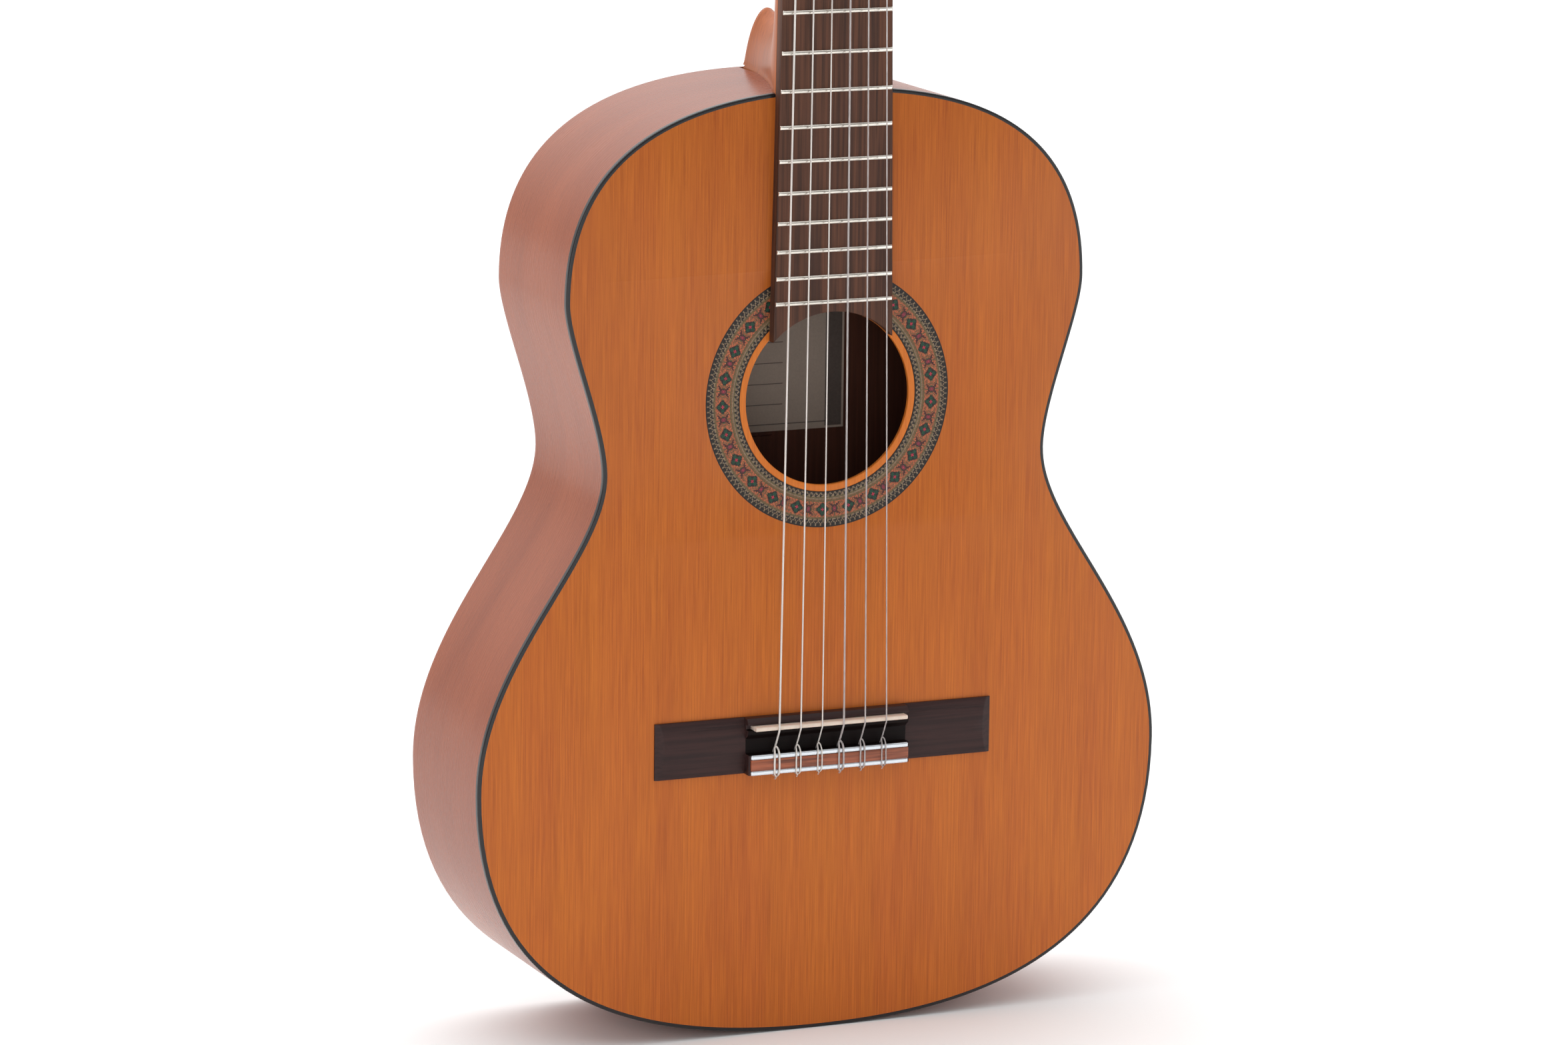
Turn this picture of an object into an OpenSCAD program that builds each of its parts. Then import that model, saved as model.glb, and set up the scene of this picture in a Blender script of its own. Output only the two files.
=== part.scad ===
// Six-string classical guitar, standing upright.
// +Z runs along the neck, the soundboard faces -Y and the treble side is +X.
// The origin is at the middle of the bounding box's underside.
// Modules draw with the soundboard's face at y = 0; placed() then centres the guitar on Y.

/* [Body] */
// Length of the body, from its tail to the twelfth fret
body_len = 491; // [485:0.5:495]
// Depth of the body over soundboard and back
body_depth = 96; // [92:0.5:102]
// Half width of the lower bout
lower_half = 189.8; // [182:0.2:192]
// Half width of the waist
waist_half = 122.6; // [118:0.2:126]
// Half width of the upper bout
upper_half = 143.2; // [139:0.2:147]
// Thickness of the soundboard
top_t = 2.4; // [2.2:0.1:2.8]
// Thickness of the back
back_t = 2.8; // [2.6:0.1:3.2]
// Thickness of the ribs, and width of the bindings
rib_t = 2; // [1.8:0.1:2.4]
// Depth of each binding down the side
binding_h = 3; // [3:0.1:4]

/* [Soundhole and rosette] */
// Distance of the soundhole's centre below the twelfth fret
hole_drop = 158.6; // [156:0.2:161]
// Radius of the soundhole
hole_r = 45.2; // [43:0.1:46]
// Inner radius of the rosette
rosette_in = 48.8; // [48.6:0.1:50]
// Outer radius of the rosette
rosette_out = 67.4; // [64:0.1:68]
// Depth of the rosette's inlay
rosette_t = 1.2; // [1:0.1:1.6]

/* [Neck and fingerboard] */
// Scale length from nut to saddle, before compensation
scale_len = 650; // [646:1:654]
// Width of the fingerboard at the nut
nut_w = 52; // [50:0.5:54]
// Width of the fingerboard at the twelfth fret
joint_w = 62; // [60:0.5:64]
// Thickness of the fingerboard
board_t = 6; // [5.5:0.1:6.5]
// Thickness of the neck's wood behind the nut
neck_t = 16; // [15:0.5:18]
// Thickness of the neck's wood above the heel
heel_start_t = 18; // [17:0.5:20]
// Height of the heel's tip above the body
heel_h = 31.5; // [27:0.5:34]
// Number of frets
fret_count = 19; // [18:1:19]

/* [Bridge] */
// Length of the bridge
bridge_w = 188; // [184:0.5:190]
// Height of the bridge along the strings
bridge_h = 29.4; // [29:0.1:30]
// Half length of the raised middle of the bridge
block_half = 45; // [44.5:0.1:46]
// Height of the saddle's top above the soundboard
saddle_top = 12; // [11.5:0.1:12.5]
// Distance between neighbouring strings at the saddle
saddle_pitch = 12; // [11.5:0.1:12.2]
// Distance between neighbouring strings at the nut
nut_pitch = 8.6; // [8.2:0.1:8.8]

/* [Headstock] */
// Backward tilt of the headstock, in degrees
head_tilt = 15; // [13:0.5:16]
// Length of the headstock above the nut
head_len = 188; // [184:1:192]
// Half width of the headstock between the tuner plates
head_half = 36; // [36:0.1:36.5]
// Thickness of the headstock's wood
head_t = 17; // [17:0.1:18]
// Distance between neighbouring string rollers
roller_pitch = 35; // [34.5:0.1:35.5]

/* [Hidden] */
$fn = 48;
steps = 14;
gap = 0.06;

// Heights along the neck
nut_z = body_len + scale_len / 2;
nut_len = 5;
head_z = nut_z + nut_len;
hole_z = body_len - hole_drop;
saddle_z = body_len - scale_len / 2 - 1.7;
bridge_z = saddle_z - 10;
bridge_low = bridge_z - bridge_h / 2;
bridge_high = bridge_z + bridge_h / 2;

// Strings, from the bass side at -X to the treble side at +X
string_d = [1.1, 0.9, 0.76, 1.02, 0.82, 0.72];
string_sides = 8;
nut_top = board_t + 1.9;
tie_hole_y = -4.4;
tie_block_top = 9.4;
tie_block_len = 10.8;

// Inside of the body
lining_w = 5.5;
lining_h = 12;
block_w = 32;
tail_block_len = 15;
foot_low = body_len - 25;
bar_h = 16;
bar_w = 6;
back_bar_h = 14;
back_in = body_depth - back_t;

// Where the whole guitar sits on Y
y_shift = (saddle_top + max(string_d) - body_depth) / 2;

// Tuning machines
slot_in = 8;
slot_out = 23;
slot_low = 18;
slot_high = 137;
veneer_t = 2;
roller_z = [50, 50 + roller_pitch, 50 + 2 * roller_pitch];
roller_y = head_t / 2;
roller_r = 5;
roller_in = 4.2;
post_r = 2.5;
wrap_x = [19.4, 16.4, 14.6];
plate_t = 1.2;
plate_low = 27;
plate_high = 147;
plate_half = 7;
screw_z = [33, 71.5, 106.5, 141];
gear_teeth = 14;
gear_pitch_r = 5;
gear_root_r = 4.3;
gear_tip_r = 5.7;
gear_w = 3;
hub_len = 2.4;
gear_x = head_half + plate_t + hub_len;
worm_core_r = 2.1;
worm_tip_r = 3.6;
worm_lead = 2 * PI * gear_pitch_r / gear_teeth;
worm_turns = 3.5;
worm_steps = 16;
worm_gap = 8;
worm_x = gear_x + gear_w / 2;
shaft_r = 1.5;
lug_y = 5.4;
lug_t = 1.6;
lug_half = 3.4;
knob_low = head_t + 7;
knob_len = 19;

// ---- Curves ----

function bezier(p, t) =
    pow(1 - t, 3) * p[0] + 3 * pow(1 - t, 2) * t * p[1]
    + 3 * (1 - t) * t * t * p[2] + pow(t, 3) * p[3];

function bezier_slope(p, t) =
    pow(1 - t, 2) * (p[1] - p[0]) + 2 * (1 - t) * t * (p[2] - p[1]) + t * t * (p[3] - p[2]);

function unit(v) = v / norm(v);

// Four curves from the tail, round the lower bout, waist and upper bout, to the neck
body_curves = [
    [[0, 0], [80, 0], [lower_half, 16], [lower_half, 139]],
    [[lower_half, 139], [lower_half, 208], [waist_half, 257], [waist_half, 299]],
    [[waist_half, 299], [waist_half, 324], [upper_half, 368], [upper_half, 388]],
    [[upper_half, 388], [upper_half, 456], [96, body_len], [0, body_len]]
];

// Points up the treble side of the body, moved inwards by inset
function body_side(inset) = concat(
    [for (curve = body_curves) for (i = [0:steps - 1])
        let (t = i / steps, slope = unit(bezier_slope(curve, t)))
        bezier(curve, t) - inset * [slope[1], -slope[0]]],
    [[0, body_len - inset]]
);

// A side's points joined to their mirror image, with the shared end points used once
function both_sides(side) = concat(
    side,
    [for (i = [len(side) - 2:-1:1]) [-side[i][0], side[i][1]]]
);

// Half width of the fingerboard at height z
function board_half(z) = nut_w / 2 + (nut_z - z) * (joint_w - nut_w) / scale_len;

// Height of fret n
function fret_z(n) = nut_z - scale_len * (1 - pow(2, -n / 12));

// From the headstock's own frame to the body's: depth y and height z
function head_point(x, y, z) = [
    x,
    y * cos(head_tilt) + z * sin(head_tilt),
    head_z - y * sin(head_tilt) + z * cos(head_tilt)
];

// ---- Frames and small helpers ----

module placed() {
    translate([0, y_shift, 0]) children();
}

module head_frame() {
    placed() translate([0, 0, head_z]) rotate([-head_tilt, 0, 0]) children();
}

// A flat outline in X and Z, as thick as the stretch of Y from front to back
module slab(front, back) {
    translate([0, back, 0]) rotate([90, 0, 0]) linear_extrude(back - front) children();
}

module rod_x(r, from, to, y, z) {
    translate([from, y, z]) rotate([0, 90, 0]) cylinder(r = r, h = to - from);
}

module rod_y(r, from, to, x, z) {
    translate([x, to, z]) rotate([90, 0, 0]) cylinder(r = r, h = to - from);
}

// A box given by its low corner and its high corner
module block(low, high) {
    translate(low) cube(high - low);
}

module body_outline(inset = 0) {
    polygon(both_sides(body_side(inset)));
}

module body_ring(front, back, outer, inner) {
    difference() {
        slab(front, back) body_outline(outer);
        slab(front - 1, back + 1) body_outline(inner);
    }
}

// ---- Soundbox ----

module soundboard() {
    color("#b8682f") placed() difference() {
        slab(0, top_t) body_outline(rib_t);
        rod_y(hole_r, -1, top_t + 1, 0, hole_z);
        difference() {
            rod_y(rosette_out, -1, rosette_t, 0, hole_z);
            rod_y(rosette_in, -2, rosette_t + 1, 0, hole_z);
        }
    }
}

module rosette() {
    color("#a07848") placed() difference() {
        rod_y(rosette_out, 0, rosette_t, 0, hole_z);
        rod_y(rosette_in, -1, rosette_t + 1, 0, hole_z);
    }
}

module back_plate() {
    color("#8a4f38") placed() slab(back_in, body_depth) body_outline(rib_t);
}

// One rib, which ends at the tail graft and in the heel's slot
module rib(side) {
    graft_half = 3;
    heel_slot = 12;
    wide = 2 * lower_half;
    color("#ad7562") placed() intersection() {
        body_ring(binding_h, body_depth - binding_h, 0, rib_t);
        union() {
            low_x = side > 0 ? graft_half : -wide;
            high_x = side > 0 ? wide : -graft_half;
            block([low_x, 0, -1], [high_x, body_depth, body_len / 2]);
            top_low = side > 0 ? heel_slot : -wide;
            top_high = side > 0 ? wide : -heel_slot;
            block([top_low, 0, body_len / 2], [top_high, body_depth, body_len + 1]);
        }
    }
}

module rib_bass() {
    rib(-1);
}

module rib_treble() {
    rib(1);
}

module tail_graft() {
    graft_half = 3;
    color("#241a18") placed() intersection() {
        body_ring(binding_h, body_depth - binding_h, 0, rib_t);
        block([-graft_half, 0, -1], [graft_half, body_depth, 10]);
    }
}

module tail_block() {
    color("#b98a5a") placed() intersection() {
        slab(top_t, back_in) body_outline(rib_t);
        block([-block_w, 0, 0], [block_w, body_depth, rib_t + tail_block_len]);
    }
}

module top_binding() {
    color("#1c1a1c") placed() body_ring(0, binding_h, 0, rib_t);
}

module back_binding() {
    color("#a06a55") placed() body_ring(body_depth - binding_h, body_depth, 0, rib_t);
}

// Space taken by the tail block and the neck's foot
module end_blocks() {
    block([-block_w, 0, -1], [block_w, body_depth, rib_t + tail_block_len]);
    block([-block_w, 0, foot_low], [block_w, body_depth, body_len + 1]);
}

module lining_ring(front) {
    color("#c99a63") placed() difference() {
        body_ring(front, front + lining_h, rib_t, rib_t + lining_w);
        end_blocks();
    }
}

module top_linings() {
    lining_ring(top_t);
}

module back_linings() {
    lining_ring(back_in - lining_h);
}

// Seven struts that spread out behind the bridge
module fan_braces() {
    strut_w = 5;
    strut_h = 4;
    strut_len = 205;
    fan_low = 48;
    spread = 42;
    color("#d8b27c") placed() for (i = [-3:3])
        translate([i * spread * 0.98, 0, fan_low + abs(i) * 6]) rotate([0, -i * 5.2, 0])
            block([-strut_w / 2, top_t, 0], [strut_w / 2, top_t + strut_h, strut_len - abs(i) * 14]);
}

bars_z = [hole_z - rosette_out - 4, hole_z + rosette_out - 3, hole_z + rosette_out + 38];

module harmonic_bars() {
    color("#d8b27c") placed() intersection() {
        slab(top_t, top_t + bar_h) body_outline(rib_t + lining_w);
        for (z = bars_z)
            block([-lower_half, 0, z - bar_w / 2], [lower_half, body_depth, z + bar_w / 2]);
    }
}

module soundhole_patch() {
    patch_t = 1.5;
    patch_r = 59;
    color("#c78d50") placed() difference() {
        rod_y(patch_r, top_t, top_t + patch_t, 0, hole_z);
        rod_y(hole_r + 1, 0, body_depth, 0, hole_z);
    }
}

back_bars_z = [105, 250, 408];

module back_braces() {
    color("#d8b27c") placed() intersection() {
        slab(back_in - back_bar_h, back_in) body_outline(rib_t + lining_w);
        for (z = back_bars_z)
            block([-lower_half, 0, z - bar_w / 2], [lower_half, body_depth, z + bar_w / 2]);
    }
}

label_half = 50;
label_low = hole_z - 34.4;
label_high = label_low + 70;

// Lengths of wood over the back's seam, between the braces and clear of the label
module back_seam_strip() {
    strip_half = 9;
    strip_t = 2;
    color("#6e4030") placed() difference() {
        block([-strip_half, back_in - strip_t, 40], [strip_half, back_in, foot_low - 30]);
        for (z = back_bars_z)
            block([-20, 0, z - bar_w / 2], [20, body_depth, z + bar_w / 2]);
        block([-20, 0, label_low - 2], [20, body_depth, label_high + 2]);
    }
}

module label() {
    label_t = 0.3;
    color("#d8d2c2") placed()
        block([-label_half, back_in - label_t, label_low], [label_half, back_in, label_high]);
}

// ---- Bridge ----

// Side view of the bridge's raised middle: depth in front of the soundboard against height
module block_profile() {
    polygon([
        [0, bridge_low], [tie_block_top - 1, bridge_low], [tie_block_top, bridge_low + 1],
        [tie_block_top, bridge_low + tie_block_len], [3.6, bridge_low + tie_block_len],
        [3.6, saddle_z - 6], [6.6, saddle_z - 4.6], [7.2, saddle_z - 2],
        [6.8, saddle_z + 2.6], [0, bridge_high]
    ]);
}

// Side view of a wing: a shallow dome
module wing_profile() {
    wing_t = 3.4;
    edge_t = 1.6;
    dome_steps = 10;
    polygon(concat(
        [[0, bridge_high], [0, bridge_low]],
        [for (i = [0:dome_steps]) let (t = i / dome_steps)
            [edge_t + (wing_t - edge_t) * sin(180 * t), bridge_low + bridge_h * t]]
    ));
}

// Carries a side view along X from low to high
module along_x(low, high) {
    translate([low, 0, 0]) rotate([0, 0, 90]) rotate([90, 0, 0])
        mirror([0, 0, 1]) mirror([1, 0, 0]) translate([0, 0, -(high - low)])
            linear_extrude(high - low) children();
}

module bridge() {
    slot_deep = 4;
    color("#3a2a28") placed() difference() {
        union() {
            along_x(-block_half, block_half) block_profile();
            along_x(-bridge_w / 2, -block_half) wing_profile();
            along_x(block_half, bridge_w / 2) wing_profile();
        }
        saddle_space(slot_deep);
        trim_strips();
        for (i = [0:5])
            translate([string_x(i, saddle_pitch), tie_hole_y, bridge_low - 1])
                cylinder(r = 0.9, h = tie_block_len + 2);
        for (side = [-1, 1])
            translate([side * bridge_w / 2, -2, 0]) rotate([0, 0, side * 35])
                block([-6, -8, 0], [6, 0, body_len]);
    }
}

function string_x(i, pitch) = (i - 2.5) * pitch;

module saddle_space(deep) {
    saddle_half = 42.4;
    saddle_t = 2.6;
    block([-saddle_half, -saddle_top, saddle_z - saddle_t / 2],
          [saddle_half, deep - 7, saddle_z + saddle_t / 2]);
}

module saddle() {
    color("#efe6d2") placed() saddle_space(4);
}

// Two strips let into the front and rear edges of the tie block
module trim_strips() {
    trim_w = 2.4;
    trim_t = 1.4;
    for (z = [bridge_low + 0.6, bridge_low + tie_block_len - trim_w])
        block([-block_half + 1, -tie_block_top, z], [block_half - 1, -tie_block_top + trim_t, z + trim_w]);
}

module tie_block_trim() {
    color("#ece8dc") placed() trim_strips();
}

// ---- Neck ----

heel_start_z = body_len + 78;
heel_floor = body_len - 2;
heel_turn = 0.45;
heel_tip_half = 8.3;
heel_lean = 11;
shaft_rings = 8;
heel_rings = 20;
section_steps = 20;

// Side view of the heel's ridge: down the neck, then back to a tip that leans forward
heel_curve = [
    [heel_start_t, heel_start_z], [heel_start_t, heel_start_z - 45],
    [56, body_len + heel_h - 9], [back_in - heel_lean, body_len + heel_h]
];

// Thickness of the neck's wood at height z
function neck_back(z) =
    neck_t + (heel_start_t - neck_t) * (nut_z - z) / (nut_z - heel_start_z);

// Half width of the heel where it meets the body, at depth y
function heel_half(y) =
    heel_tip_half + (joint_w / 2 - heel_tip_half) * pow(1 - y / back_in, 1.6);

// Each ring of the neck: [front edge, back edge, half width, fullness], edges as [depth, height]
shaft_ring_list = concat(
    [[[0, head_z], [neck_t * cos(head_tilt), head_z - neck_t * sin(head_tilt)], nut_w / 2, 0.85]],
    [for (i = [1:shaft_rings]) let (z = nut_z - 14 + (heel_start_z - nut_z + 14) * (i - 1) / shaft_rings)
        [[0, z], [neck_back(z), z], board_half(z), 0.85]]
);
heel_ring_list = [for (i = [0:heel_rings])
    let (t = i / heel_rings, down = min(t / heel_turn, 1), in = max(0, (t - heel_turn) / (1 - heel_turn)),
         z = heel_start_z + (heel_floor - heel_start_z) * down, y = back_in * in)
    [[y, z], bezier(heel_curve, t), i < heel_rings * heel_turn ? board_half(z) : heel_half(y),
     0.85 + 0.35 * sin(180 * t) - 0.1 * t]];

function ring_points(ring) = [for (i = [0:section_steps])
    let (a = 180 * i / section_steps, deep = pow(sin(a), ring[3]), edge = ring[0] + (ring[1] - ring[0]) * deep)
    [-ring[2] * cos(a), edge[0], edge[1]]];

// Closes a row of rings, each with the same number of points, into one solid
module skin(rings) {
    count = len(rings[0]);
    points = [for (ring = rings) for (point = ring) point];
    sides = [for (i = [0:len(rings) - 2]) for (j = [0:count - 1])
        let (a = i * count + j, b = i * count + (j + 1) % count)
        for (face = [[a, a + count, b + count], [a, b + count, b]]) face];
    first = [for (j = [0:count - 1]) j];
    last = [for (j = [count - 1:-1:0]) (len(rings) - 1) * count + j];
    polyhedron(points, concat(sides, [first, last]));
}

module neck() {
    joint_half = 12;
    toe_half = 24;
    color("#b97d5c") placed() union() {
        difference() {
            skin([for (ring = concat(shaft_ring_list, heel_ring_list)) ring_points(ring)]);
            slab(-1, body_depth + 1) body_outline();
        }
        intersection() {
            slab(top_t, back_in) body_outline(rib_t);
            block([-block_w, top_t, foot_low], [block_w, back_in, body_len]);
        }
        intersection() {
            slab(binding_h, body_depth - binding_h) body_outline();
            block([-joint_half, 0, body_len - rib_t - 3], [joint_half, body_depth, body_len]);
        }
        block([-toe_half, back_in - 8, foot_low - 26], [toe_half, back_in, foot_low]);
    }
}

module heel_cap() {
    cap_ring = ring_points(heel_ring_list[heel_rings]);
    color("#b07658") placed() difference() {
        skin([cap_ring, [for (p = cap_ring) p + [0, back_t, 0]]]);
        slab(0, body_depth + 1) body_outline();
    }
}

module fingerboard() {
    low = hole_z;
    color("#553c34") placed() difference() {
        slab(-board_t, 0) polygon([
            [-board_half(low), low], [board_half(low), low],
            [nut_w / 2, nut_z], [-nut_w / 2, nut_z]
        ]);
        rod_y(hole_r, -board_t - 1, 1, 0, hole_z);
        for (n = [1:fret_count])
            fret_tang(n);
    }
}

module fret_tang(n) {
    tang_t = 0.5;
    tang_h = 1.6;
    long = board_half(fret_z(n)) - 0.4;
    block([-long, -board_t - 0.1, fret_z(n) - tang_t / 2], [long, tang_h - board_t, fret_z(n) + tang_t / 2]);
}

module frets() {
    crown_r = 1.1;
    color("#cfcfcf") placed() for (n = [1:fret_count]) {
        long = board_half(fret_z(n)) - 0.4;
        difference() {
            rod_x(crown_r, -long, long, -board_t, fret_z(n));
            block([-50, -board_t, fret_z(n) - 2], [50, 0, fret_z(n) + 2]);
        }
        intersection() {
            fret_tang(n);
            block([-50, -board_t, fret_z(n) - 2], [50, 0, fret_z(n) + 2]);
        }
    }
}

module nut() {
    color("#efe6d2") placed() difference() {
        block([-nut_w / 2, -nut_top - 0.4, nut_z], [nut_w / 2, 0, head_z]);
        for (i = [0:5])
            translate([string_x(i, nut_pitch), -nut_top - string_d[i] / 2, nut_z - 1])
                cylinder(d = string_d[i] + 0.02, h = nut_len + 2);
        translate([0, -nut_top, head_z]) rotate([-35, 0, 0])
            block([-nut_w, -6, -4], [nut_w, 0, 6]);
    }
}

// ---- Headstock ----

// Points up the treble edge of the headstock, from the nut to its crest
head_curves = [
    [[nut_w / 2, 0], [nut_w / 2, 8], [head_half - 2, 8], [head_half, 20]],
    [[head_half, 152], [head_half + 1.5, 166], [24, 160], [17, 172]],
    [[17, 172], [13, 180], [8, head_len], [0, head_len]]
];

function head_side() = concat(
    [[0, 0]],
    [for (curve = head_curves) for (i = [0:steps]) bezier(curve, i / steps)]
);

module head_outline() {
    difference() {
        polygon(both_sides(head_side()));
        for (side = [-1, 1])
            string_slot(side);
    }
}

module string_slot(side) {
    slot_r = (slot_out - slot_in) / 2;
    middle = side * (slot_in + slot_r);
    for (z = [slot_low + slot_r, slot_high - slot_r])
        translate([middle, z]) circle(r = slot_r);
    translate([middle - slot_r, slot_low + slot_r]) square([2 * slot_r, slot_high - slot_low - 2 * slot_r]);
}

module headstock() {
    color("#a9694a") head_frame() difference() {
        slab(0, head_t) head_outline();
        for (z = roller_z) {
            rod_x(roller_r + gap, roller_in - 0.2, head_half + 1, roller_y, z);
            rod_x(roller_r + gap, -head_half - 1, -roller_in + 0.2, roller_y, z);
        }
        for (z = screw_z)
            rod_x(screw_r, -head_half - 1, -head_half + screw_len, roller_y, z);
        for (z = screw_z)
            rod_x(screw_r, head_half - screw_len, head_half + 1, roller_y, z);
    }
}

module headstock_veneer() {
    color("#3b2520") head_frame() slab(-veneer_t, 0) head_outline();
}

// ---- Tuning machines ----

screw_r = 1;
screw_len = 8;
screw_head_r = 2;
screw_head_h = 1;

module tuner_plate(side) {
    color("#c9a85c") head_frame() difference() {
        union() {
            plate_body(side);
            for (z = roller_z)
                lugs(side, z + worm_gap);
        }
        for (z = roller_z)
            rod_x(post_r + gap, -50, 50, roller_y, z);
        for (z = screw_z)
            rod_x(screw_r, -50, 50, roller_y, z);
        for (z = roller_z)
            rod_y(shaft_r + gap, -20, 40, side * worm_x, z + worm_gap);
    }
}

module plate_body(side) {
    from = side > 0 ? head_half : -head_half - plate_t;
    for (z = [plate_low + plate_half, plate_high - plate_half])
        rod_x(plate_half, from, from + plate_t, roller_y, z);
    block([from, roller_y - plate_half, plate_low + plate_half],
          [from + plate_t, roller_y + plate_half, plate_high - plate_half]);
}

// The two ears that carry a worm's shaft
module lugs(side, z) {
    reach = worm_x - head_half + 2.6;
    from = side > 0 ? head_half + plate_t / 2 : -head_half - reach;
    for (y = [roller_y - lug_y - lug_t, roller_y + lug_y])
        block([from, y, z - lug_half], [from + reach - plate_t / 2, y + lug_t, z + lug_half]);
}

module tuner_plate_bass() {
    tuner_plate(-1);
}

module tuner_plate_treble() {
    tuner_plate(1);
}

module plate_screws() {
    face = head_half + plate_t;
    color("#b89a55") head_frame() for (side = [-1, 1]) for (z = screw_z) {
        shank_from = side > 0 ? head_half - screw_len : -face;
        rod_x(screw_r, shank_from, shank_from + screw_len + plate_t, roller_y, z);
        head_from = side > 0 ? face : -face - screw_head_h;
        rod_x(screw_head_r, head_from, head_from + screw_head_h, roller_y, z);
    }
}

// Strings 0 to 2 wind on the bass side, 3 to 5 on the treble side
function side_of(i) = i < 3 ? -1 : 1;
function row_of(i) = i < 3 ? i : 5 - i;
function roller_height(i) = roller_z[row_of(i)];

module roller(i) {
    wraps = 3;
    wrap_r = string_d[i] / 2;
    z = roller_height(i);
    from = side_of(i) > 0 ? roller_in : -head_half + 0.1;
    color("#e9e2d0") head_frame() {
        rod_x(roller_r, from, from + head_half - 0.1 - roller_in, roller_y, z);
        for (k = [1:wraps])
            translate([side_of(i) * (wrap_x[row_of(i)] - k * (string_d[i] + 0.12)), roller_y, z])
                rotate([0, 90, 0]) rotate_extrude()
                    translate([roller_r + wrap_r * 0.9, 0]) circle(r = wrap_r, $fn = 16);
    }
}

module gear_outline() {
    half_tooth = 0.42;
    tip_half = 0.26;
    root_half = 0.6;
    turn = 360 / gear_teeth;
    polygon([for (k = [0:gear_teeth - 1]) for (p = [
        [gear_root_r, -root_half], [gear_pitch_r, -half_tooth], [gear_tip_r, -tip_half],
        [gear_tip_r, tip_half], [gear_pitch_r, half_tooth], [gear_root_r, root_half]])
        let (a = (k + 0.5) * turn + atan2(p[1], p[0])) norm(p) * [cos(a), sin(a)]]);
}

// A gear on its post, in mesh with its worm when the gear is as drawn
module gear(i) {
    side = side_of(i);
    z = roller_height(i);
    cap_r = 2.9;
    cap_h = 1.2;
    from = side > 0 ? gear_x : -gear_x - gear_w;
    hub_r = 3.8;
    hub_gap = 0.3;
    post_from = side > 0 ? head_half - 0.1 : -gear_x;
    hub_from = side > 0 ? gear_x - hub_len + hub_gap : -gear_x;
    color("#b8963f") head_frame() union() {
        translate([from, roller_y, z]) rotate([0, 90, 0]) rotate([0, 0, 180])
            linear_extrude(gear_w) gear_outline();
        rod_x(post_r, post_from, post_from + gear_x - head_half + 0.1, roller_y, z);
        rod_x(hub_r, hub_from, hub_from + hub_len - hub_gap, roller_y, z);
        rod_x(cap_r, side > 0 ? from + gear_w : from - cap_h,
              side > 0 ? from + gear_w + cap_h : from, roller_y, z);
    }
}

// One ridge wound round the worm's core; angles run from the side that faces the gear
module worm_thread() {
    half_root = 0.52;
    half_tip = 0.24;
    count = worm_turns * worm_steps;
    skin([for (i = [0:count])
        let (a = (i - count / 2) * 360 / worm_steps, y = worm_lead * a / 360,
             out = [-sin(a), 0, -cos(a)])
        [for (p = [[worm_core_r - 0.3, -half_root], [worm_core_r - 0.3, half_root],
                   [worm_tip_r, half_tip], [worm_tip_r, -half_tip]])
            p[0] * out + [0, y + p[1], 0]]]);
}

module worm(i) {
    core_half = lug_y - 0.2;
    color("#c8c8c4") head_frame() translate([side_of(i) * worm_x, roller_y, roller_height(i) + worm_gap]) {
        worm_thread();
        rod_y(worm_core_r, -core_half, core_half, 0, 0);
        rod_y(shaft_r, -lug_y - lug_t, knob_low + knob_len / 2 - roller_y, 0, 0);
    }
}

// Half of a button's section, as a rounded lens: distance from its axis against half its thickness
module button_profile(button_r, thick) {
    round_steps = 10;
    polygon(concat(
        [[0, -thick / 2], [0, thick / 2]],
        [for (i = [0:round_steps]) let (a = 90 - 180 * i / round_steps)
            [button_r - 3.4 + 3.4 * cos(a), thick / 2 * sin(a)]]
    ));
}

// A flattened, rounded button with a collar at its neck
module knob(i) {
    button_r = 8.4;
    thick = 7.6;
    collar_r = 3.4;
    middle = knob_low + 3 + button_r;
    color("#ece7d8") head_frame() translate([side_of(i) * worm_x, 0, roller_height(i) + worm_gap])
        difference() {
            union() {
                translate([0, middle, 0]) rotate([0, 90, 0]) rotate_extrude()
                    button_profile(button_r, thick);
                rod_y(collar_r, knob_low, middle - 2, 0, 0);
            }
            rod_y(shaft_r, -1, knob_low + knob_len / 2, 0, 0);
        }
}

// ---- Strings ----

tie_spread = 0.75;
saddle_crest = 0.9;

// Where a string's centre meets its roller, in the headstock's frame: [depth, height]
function roller_touch(i) =
    let (start = nut_exit(i), centre = [roller_y, roller_height(i)], away = start - centre,
         r = roller_r + string_d[i] / 2 + 0.1, turn = acos(r / norm(away)),
         a = atan2(away[1], away[0]) - turn)
    centre + r * [cos(a), sin(a)];

// Where a string leaves the nut, in the headstock's frame
function nut_exit(i) =
    let (y = -nut_top - string_d[i] / 2)
    [y * cos(head_tilt), y * sin(head_tilt)];

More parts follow.
